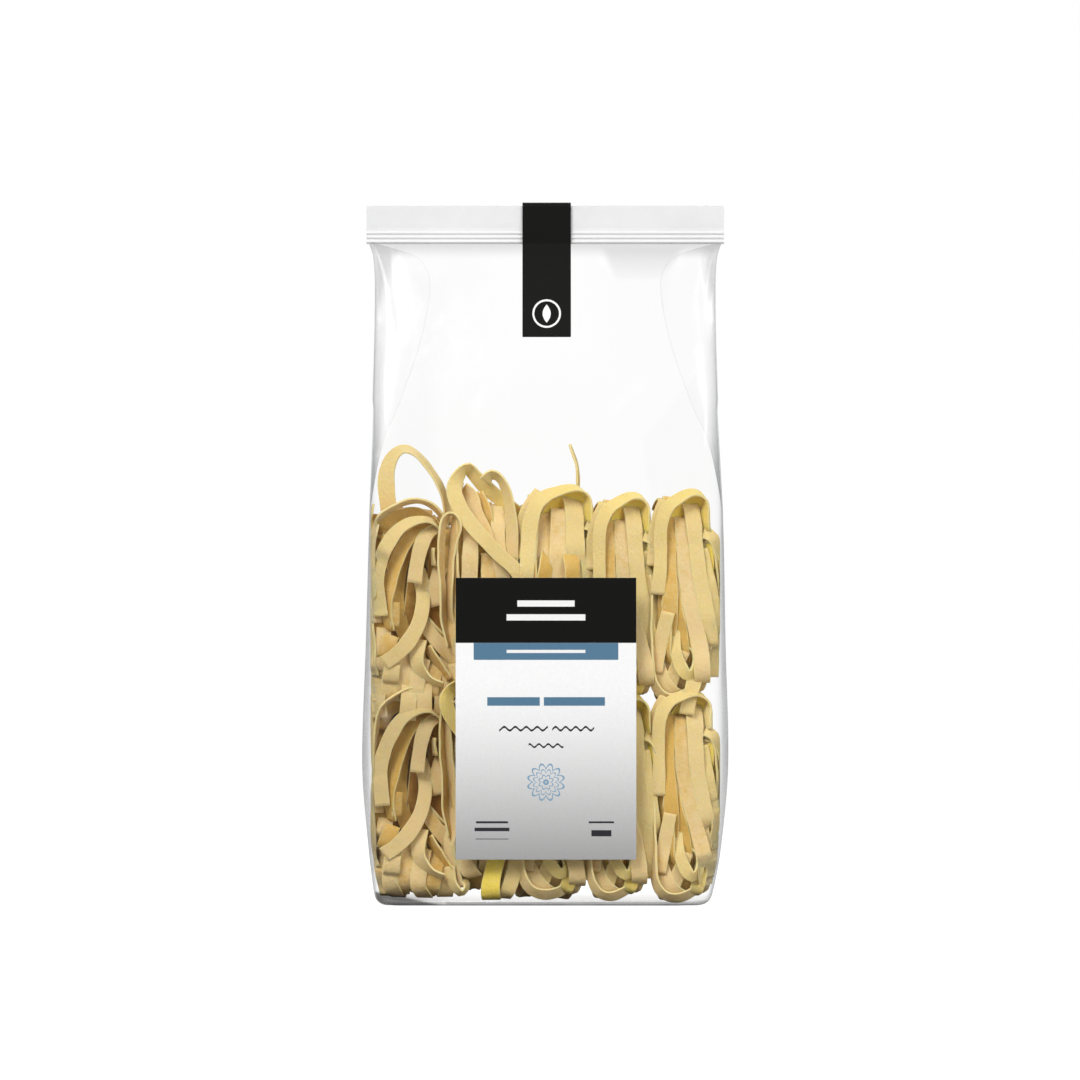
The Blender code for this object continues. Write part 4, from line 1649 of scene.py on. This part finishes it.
def combed_strands() -> list[Ribbon]:
    """The front of a nest whose strands fall side by side under one broad arch.

    Returns:
        The ribbons.
    """
    return [
        strand([(-11.2, 43.5, 1.6, 0), (-10.2, 56.4, 1.2, 0), (-9.5, 70.5, 1, -4), (-7.4, 77.9, 1, -14),
                (-3.6, 82.4, 1.2, -28), (1.0, 84.8, 2, -40), (4.8, 86.2, 3, -54), (8.8, 86.2, 4, -72),
                (12.0, 83.8, 5, -96), (13.6, 79.4, 6, -118), (13.8, 71.5, 7, -128)], (0.16, -0.32), 0.5),
        strand([(-13.4, 56, 4.6, -8), (-12.8, 67, 4, -10), (-10.4, 76.6, 3.4, -14), (-6.0, 84.4, 3.4, -22)],
               0.12, 0.5),
        strand([(-3.4, 73, 10, 20), (0.2, 78.5, 8.6, 24), (4.0, 82.0, 7.8, 24), (8.6, 83.6, 8.4, 22),
                (12.0, 80.6, 9.4, 16), (12.8, 73, 10.4, 10)], -0.60, 0.45),
        sideways([(1.8, 71.0, 14, 0), (1.8, 76.2, 9.6, 0), (2.0, 74.8, 5.8, 0), (2.0, 68.5, 4.6, 0),
                  (2.2, 60, 4.0, 0), (2.5, 51.0, 3.6, 0), (4.0, 42.0, 3.2, 0), (6.2, 33.4, 2.8, 0),
                  (9.0, 24.9, 2.4, 0), (11.3, 16.3, 2.4, 0), (12.1, 9.4, 3.4, 0), (12.0, 6.6, 7, 0),
                  (11.4, 6.4, 11, 0)], (0.56, 0.34), 0.6, 7.2),
        sideways([(-4.2, 79, 15, 0), (-3.9, 77.5, 10.4, 0), (-3.5, 70, 7.8, 0), (-3.3, 60, 6.4, 0),
                  (-4.0, 50, 5.4, 0), (-5.2, 42, 4.4, 0), (-5.6, 37.8, 4.2, 0)], (0.72, 0.4), 0.5, 7.4),
        strand([(-5.4, 36.4, 3.2, 2), (-7.6, 27.4, 3.0, 6), (-9.0, 19.7, 3.4, 10), (-10.2, 12.0, 4.6, 14)],
               (0.12, 0.5), 0.5),
        sideways([(5.0, 84.5, 10, -20), (6.6, 80.5, 7.6, -18), (7.8, 74.1, 5.8, -16), (8.5, 64.4, 4.8, -8),
                  (9.2, 55.0, 4.4, -4), (10.4, 46.4, 4.0, 0), (12.2, 37.0, 4.0, 0), (14.0, 27.0, 4.4, 0),
                  (15.4, 17.0, 5.2, 0), (15.4, 9.0, 7, 0)], 0.16, 0.6, 7.6),
        sideways([(8.4, 84.0, 11, -10), (10.2, 78.5, 8.6, -10), (11.8, 70, 7.2, -10), (12.9, 60, 6.8, -8),
                  (13.9, 50, 6.6, -8), (14.9, 40, 6.6, -6), (15.9, 30, 7, -4), (16.2, 20, 8, 0)],
                 0.04, 0.45),
        sideways([(-0.8, 68, 10, 0), (-0.6, 57, 8.8, 0), (0.0, 47, 7.8, 0), (1.6, 37, 7, 0),
                  (3.8, 28, 6.6, 0), (5.8, 19, 6.6, 0)], 0.52, 0.45),
        sideways([(5.4, 60, 7.8, 0), (6.6, 50, 7.2, 0), (8.4, 40, 6.8, 0), (10.4, 30, 6.6, 0),
                  (12.2, 20, 6.8, 0)], 0.34, 0.45),
        strand([(11.6, 64, 6.4, -10), (13.8, 55, 5.6, -16), (15.4, 46, 5.4, -24), (16.4, 37, 5.8, -34),
                (16.6, 29, 6.8, -44), (16.0, 21, 8.4, -50)], 0.02, 0.4, 6.0),
        strand([(12.4, 70.4, 6.4, -16), (16.0, 68.6, 6.2, -34), (18.8, 64, 6.8, -50), (20.4, 57, 7.8, -58),
                (20.6, 50, 8.8, -62), (19.2, 43.6, 9.8, -60), (16.6, 37, 11, -50)], 0.05, 0.45, 5.8),
        strand([(12.6, 75, 8.4, 30), (14.4, 68, 7.4, 30), (15.8, 62, 7.4, 34), (15.4, 55.4, 8.4, 30)],
               -0.45, 0.4, 5.2),
        strand([(-14.0, 52, 5, 70), (-13.8, 40, 4, 72), (-13.4, 28, 3.4, 72), (-12.9, 17, 3, 66),
                (-11.6, 9, 3, 54), (-8.4, 3.6, 3.2, 42), (-3.2, 1.4, 4, 38), (2.4, 2.0, 5.4, 40),
                (7.0, 4.6, 7, 44), (9.6, 9.6, 8.6, 50)], 0.34, 0.5, 5.6),
        strand([(-2.6, 33, 6.6, 6), (-2.2, 25.6, 4.8, 10), (-0.2, 17.4, 3.2, 16), (3.0, 11.6, 2.6, 24),
                (5.8, 10.8, 2.8, 40), (7.4, 15.0, 3.8, 56), (6.6, 21.0, 5.4, 66), (3.0, 22.8, 6.6, 66),
                (-0.4, 21.6, 7.6, 60)], (0.10, -0.3), 0.4, 5.6),
        strand([(-9.6, 15, 5.6, 10), (-6.2, 8.4, 4.2, 16), (-1.6, 3.0, 4.4, 20), (1.6, 1.4, 7, 20)],
               0.32, 0.45),
        sideways([(2.6, 20, 5.4, 0), (-1.0, 12, 4.2, 0), (-3.8, 5.0, 4.6, 0), (-4.8, 1.6, 8, 0)], 0.22),
        sideways([(9.6, 16, 7.6, 0), (8.8, 9, 6.2, 0), (7.0, 3.4, 6.8, 0), (5.4, 1.6, 10.6, 0)], -0.25),
        sideways([(-6.6, 24, 7.4, 0), (-4.4, 14, 7.0, 0), (1.0, 8.0, 7.4, 0), (5.0, 5.0, 9, 0)], 0.6),
        sideways([(12.6, 20, 8.4, 0), (12.0, 11, 7.4, 0), (9.8, 4.0, 8, 0), (7.6, 2.0, 12, 0)], 0.3),
        sideways([(-10.6, 60, 10, 0), (-10.0, 42, 9, 0), (-10.4, 24, 8.4, 0), (-8.0, 10, 8.4, 0)],
                 0.85, 0.3),
        strand([(3.4, 44, 10, 10), (3.0, 32, 9.4, 14), (4.0, 20, 9.4, 10), (2.0, 8, 8.4, 0)], 0.60),
        sideways([(-1.6, 52, 11, 0), (-2.2, 40, 10, 0), (-3.0, 28, 9, 0), (-4.0, 16, 8, 0),
                  (-5.0, 6, 9, 0)], 0.7, 0.3),
    ]


def standing_strands() -> dict[str, list[Ribbon]]:
    """The open loop over the first nest and the single strand over the third.

    Returns:
        The ribbons, by the nest that each stands on.
    """
    return {
        "nest_upper_1": [
            strand([(-8.2, 70, 12, 0), (-8.9, 78.5, 11, 0), (-10.4, 90.6, 9, -8), (-10.3, 99.0, 8, -24),
                    (-7.8, 105.2, 8, -44), (-2.7, 108.2, 8, -64), (4.0, 104.6, 8, -72),
                    (10.3, 96.2, 9, -72), (14.5, 85.7, 10, -68), (16.2, 76.4, 12, -60)],
                   (0.25, 0.0), 0.5, 7.0),
        ],
        "nest_upper_3": [
            strand([(9.6, 74, 15, 66), (9.8, 84, 14, 70), (9.9, 90, 13, 74), (9.6, 96, 12, 76),
                    (8.0, 101, 12, 78), (6.6, 104.6, 12, 80)], 0.1, 0.5, 3.0),
        ],
    }


def hanging_ends() -> dict[str, list[Ribbon]]:
    """The strand ends that hang from the upper row over the lower one.

    Returns:
        The ribbons, by the nest that each hangs from.
    """
    return {
        "nest_upper_5": [
            strand([(7.6, 13, 5.4, -10), (5.6, 5.4, 3.6, -6), (3.8, -1.5, 3.0, -4), (3.0, -6.0, 3.2, -2)],
                   0.12),
        ],
        "nest_upper_1": [
            strand([(-0.4, 9, 4.6, 0), (-1.2, 1.6, 3.0, 2), (-1.6, -5.6, 3.0, 4)], 0.28, width=7.0),
            strand([(5.6, 10, 4.4, 0), (5.2, 3.6, 3.2, 2), (5.4, -2.6, 3.6, 4)], 0.34, width=7.0),
            strand([(-13.4, 12, 6.4, 0), (-14.0, 3, 5.4, 6), (-13.0, -4.6, 6.4, 12)], 0.5),
            strand([(12.4, 10, 6.4, 0), (12.8, 2, 5.4, -6), (12.0, -4.0, 6.4, -12)], 0.45),
        ],
    }


def outer_loop() -> list[Ribbon]:
    """The loop and the two short turns at the outer side of the last nest of a row.

    Returns:
        The ribbons.
    """
    return [
        strand([(10.5, 69.0, 7, -16), (14.5, 67.5, 7, -34), (17.6, 62.0, 7.4, -50), (19.0, 55.0, 8.2, -56),
                (19.0, 48.0, 9, -60), (17.8, 41.0, 10, -58), (15.4, 35.0, 11, -50)], 0.04, 0.4, 6.0),
        strand([(13.4, 68.0, 9.0, 20), (15.2, 61.0, 8.6, 24), (16.0, 54.0, 9.0, 20)], -0.45, 0.4, 5.6),
        strand([(15.4, 61.0, 10.0, 0), (17.2, 54.0, 9.6, 0), (17.4, 46.0, 10, 0), (16.0, 36.0, 11, 0)],
               -0.1, 0.4, 6.0),
    ]


@dataclass(frozen=True)
class NestPlace:
    """Where one nest stands in the bag, in millimetres, and how it differs from its kind."""

    name: str
    kind: NestKind
    x: float
    foot: float
    squeeze: float = 1.0
    tall: float = 1.0
    back: float = 0.0
    tone: float = 0.0
    seed: int = 0


@dataclass
class NestPack:
    """The two rows of nests in the bag, and the strands between them. Millimetres."""

    warp: float = 0.9
    film_gap: float = 0.5
    side_ease: float = 1.0
    depth_ease: float = 1.2
    least_height: float = 0.9
    plain_tone: float = 0.45
    rear_fade: float = 0.65
    rear_depth: float = 20.0
    # Some places shift their nest's colour warmer and darker, partly as painted shade of the left and lower
    # nests.
    places: tuple = (
        NestPlace("nest_upper_1", NestKind.OPEN, -56.2, 83.2, tone=0.10, seed=1),
        NestPlace("nest_upper_2", NestKind.TOUSLED, -23.6, 86.1, back=-0.5, tone=0.16, seed=2),
        NestPlace("nest_upper_3", NestKind.COMBED, 3.7, 89.0, seed=3),
        NestPlace("nest_upper_4", NestKind.COMBED, 31.2, 84.8, squeeze=0.86, back=0.6, seed=4),
        NestPlace("nest_upper_5", NestKind.COMBED, 56.2, 86.1, squeeze=0.86, seed=5),
        NestPlace("nest_lower_1", NestKind.OPEN, -55.6, 3.6, back=0.4, tone=0.20, seed=6),
        NestPlace("nest_lower_2", NestKind.TOUSLED, -25.3, 2.5, tall=0.92, back=-2.0, seed=7),
        NestPlace("nest_lower_3", NestKind.COMBED, 1.6, 2.4, tall=0.98, back=-2.2, seed=8),
        NestPlace("nest_lower_4", NestKind.COMBED, 30.0, 1.8, squeeze=0.86, back=-2.0, seed=9),
        NestPlace("nest_lower_5", NestKind.COMBED, 56.4, 2.5, squeeze=0.86, back=0.3, tone=0.10, seed=10),
    )

    def build(self, walls: Walls, finish: PastaFinish, effects: SharedEffects) -> list[bpy.types.Object]:
        """Build every nest, each kind once and then laid out with its own differences.

        Args:
            walls: the film's front and back.
            finish: the pasta's finish.
            effects: the shared groups.

        Returns:
            The nests' objects.
        """
        material = finish.material(effects)
        kinds = {}
        made = []
        for place in self.places:
            form = (place.kind, place.squeeze)
            if form not in kinds:
                kinds[form] = Nest(place.kind, seed=20 + len(kinds), squeeze=place.squeeze).build()
            mesh = kinds[form].copy()
            self.lay(mesh, place, walls)
            made.append(link(place.name, mesh, material))
        for mesh in kinds.values():
            bpy.data.meshes.remove(mesh)
        made.append(self.loose_strands(material, walls))
        return made

    def lay(self, mesh: bpy.types.Mesh, place: NestPlace, walls: Walls) -> None:
        """Move a nest's mesh to its place, with a slow warp of its own.

        Args:
            mesh: the nest's mesh, in millimetres, which is changed and comes to be in metres.
            place: where the nest stands.
            walls: the film round it.
        """
        count = len(mesh.vertices)
        points = np.empty(count * 3)
        mesh.vertices.foreach_get("co", points)
        points = points.reshape(-1, 3)
        draw = random.Random(place.seed)
        for axis in range(3):
            rates = [draw.uniform(0.04, 0.09) for _ in range(3)]
            start = draw.uniform(0.0, 6.28)
            points[:, axis] += self.warp * np.sin(points @ np.array(rates) + start)
        points *= (1.0, 1.0, place.tall)
        points += (place.x, place.back, place.foot)
        points = self.behind_film(points, walls)
        mesh.vertices.foreach_set("co", (points * MM).ravel())
        tones_and_shading = np.empty(count)
        mesh.attributes["tone"].data.foreach_get("value", tones_and_shading)
        tones_and_shading += place.tone
        # Colour above plain_tone, painted shade included, fades out towards the back of the bag.
        rearwards = np.clip(points[:, 1] / self.rear_depth, 0.0, 1.0)
        tones_and_shading -= np.maximum(tones_and_shading - self.plain_tone, 0.0) * self.rear_fade * rearwards
        mesh.attributes["tone"].data.foreach_set("value", tones_and_shading)
        mesh.update()

    def behind_film(self, points: np.ndarray, walls: Walls) -> np.ndarray:
        """Keep points inside the bag's walls.

        Args:
            points: rows of x, y and z, which are changed.
            walls: the film round them.

        Returns:
            The same rows.
        """
        across, deep = points[:, 0], points[:, 1]
        side = walls.side(points) - self.film_gap
        points[:, 0] = np.sign(across) * eased(np.abs(across), side, self.side_ease)
        front = -eased(-deep, walls.depth(points, -1.0) - self.film_gap, self.depth_ease)
        back = eased(deep, walls.depth(points, 1.0) - self.film_gap, self.depth_ease)
        points[:, 1] = np.where(deep < 0.0, front, back)
        points[:, 2] = np.maximum(points[:, 2], self.least_height)
        return points

    def loose_strands(self, material: bpy.types.Material, walls: Walls) -> bpy.types.Object:
        """Build the strands that stand out of the upper row, hang from it or bulge at its outer side.

        Args:
            material: the pasta's material.
            walls: the film round them.

        Returns:
            The strands, as one piece.
        """
        outer = {name: outer_loop() for name in ("nest_upper_5", "nest_lower_5")}
        ribbons = []
        for group in (standing_strands(), hanging_ends(), outer):
            for name, strands in group.items():
                place = next(p for p in self.places if p.name == name)
                for ribbon in strands:
                    ribbon.points += (place.x, 0.0, place.foot)
                ribbons += strands
        whole = joined(ribbons)
        points = self.behind_film(np.array([v.co[:] for v in whole.verts]), walls) * MM
        for vert, point in zip(whole.verts, points):
            vert.co = point
        mesh = bpy.data.meshes.new("loose_strands")
        whole.to_mesh(mesh)
        whole.free()
        return link("loose_strands", mesh, material)


@dataclass
class Studio:
    """A white floor and white surroundings, soft light from above, and the camera at eye level."""

    distance: float = 6.0
    plane: float = -0.015
    frame_width: float = 0.4536
    aim: tuple = (-0.0022, 0.1533)
    floor_reach: float = 9.0
    floor_drop: float = 0.0002
    floor_glow: float = 0.93
    ambient: float = 0.46
    light_aim: tuple = (0.0, 0.0, 0.13)

    def floor(self) -> None:
        """A wide white floor just under the bag: the camera sees it white, with a faint shadow."""
        bm = bmesh.new()
        bmesh.ops.create_grid(bm, x_segments=24, y_segments=24, size=self.floor_reach)
        bmesh.ops.translate(bm, verts=bm.verts, vec=(0.0, 0.0, -self.floor_drop))
        mesh = bpy.data.meshes.new("studio_floor")
        bm.to_mesh(mesh)
        bm.free()
        material, w, shader = new_material("pale_floor")
        place = w.add("ShaderNodeTexCoord").outputs["Object"]
        shade = w.ramp(w.noise(place, 3.0), 0.3, 0.7)
        colour = w.blend(shade, (0.42, 0.42, 0.42, 1.0), (0.40, 0.40, 0.40, 1.0))
        w.feed(shader.inputs["Base Color"], colour)
        shader.inputs["Roughness"].default_value = 0.9
        shader.inputs["Specular IOR Level"].default_value = 0.0
        glow = w.add("ShaderNodeEmission", {"Color": (1.0, 1.0, 1.0, 1.0), "Strength": self.floor_glow})
        dim = w.add("ShaderNodeBsdfDiffuse", {"Color": (0.17, 0.17, 0.17, 1.0)})
        seen = w.add("ShaderNodeAddShader", {0: glow.outputs[0], 1: dim.outputs[0]})
        by_camera = w.add("ShaderNodeLightPath").outputs["Is Camera Ray"]
        mixed = w.add("ShaderNodeMixShader", {0: by_camera, 1: shader.outputs[0], 2: seen.outputs[0]})
        w.feed(w.tree.nodes["Material Output"].inputs["Surface"], mixed.outputs[0])
        mesh.materials.append(material)
        floor = bpy.data.objects.new("studio_floor", mesh)
        bpy.context.scene.collection.objects.link(floor)

    def softbox(self, name: str, place: tuple, size: float, watts: float) -> None:
        """Add one square soft light aimed at the middle of the bag.

        Args:
            name: the light's name.
            place: where it hangs.
            size: the length of its side.
            watts: its power.
        """
        lamp = bpy.data.lights.new(name, "AREA")
        lamp.size = size
        lamp.energy = watts
        obj = bpy.data.objects.new(name, lamp)
        obj.location = place
        aim = Vector(self.light_aim) - Vector(place)
        obj.rotation_euler = aim.to_track_quat("-Z", "Y").to_euler()
        bpy.context.scene.collection.objects.link(obj)

    def light(self) -> None:
        """White surroundings, dimmer as a light than as a backdrop, and the soft lights."""
        world = bpy.data.worlds.new("white_room")
        world.use_nodes = True
        w = Wiring(world.node_tree)
        by_camera = w.add("ShaderNodeLightPath").outputs["Is Camera Ray"]
        sky = w.tree.nodes["Background"]
        sky.inputs["Color"].default_value = (1.0, 1.0, 1.0, 1.0)
        w.feed(sky.inputs["Strength"], w.ramp(by_camera, 0.0, 1.0, self.ambient, 1.0))
        bpy.context.scene.world = world
        self.softbox("key_light", (-1.0, -1.8, 1.7), 1.1, 47.0)
        self.softbox("fill_light", (1.4, -1.8, 1.3), 1.1, 22.0)
        self.softbox("back_light", (0.3, 1.6, 1.4), 1.0, 16.0)

    def camera(self) -> None:
        """The camera, level with the middle of the bag and square to its front."""
        lens = bpy.data.cameras.new("camera")
        lens.sensor_width = 36.0
        lens.lens = lens.sensor_width * self.distance / self.frame_width
        lens.clip_end = 60.0
        obj = bpy.data.objects.new("camera", lens)
        obj.location = (self.aim[0], self.plane - self.distance, self.aim[1])
        obj.rotation_euler = (math.pi / 2, 0.0, 0.0)
        bpy.context.scene.collection.objects.link(obj)
        bpy.context.scene.camera = obj

    def build(self) -> None:
        """Set up the floor, the lights, the camera and how light is shown."""
        self.floor()
        self.light()
        self.camera()
        scene = bpy.context.scene
        scene.view_settings.view_transform = "Standard"
        scene.cycles.transparent_max_bounces = 32
        scene.cycles.max_bounces = 10


def main() -> None:
    """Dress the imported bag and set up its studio."""
    logging.basicConfig(level=logging.INFO, format="%(message)s")
    effects = SharedEffects()
    Studio().build()
    Print().dress(effects)
    film = FilmBag().build(FilmFinish())
    Header().build(HeaderFinish())
    NestPack().build(Walls(film), PastaFinish(), effects)


if __name__ == "__main__":
    main()
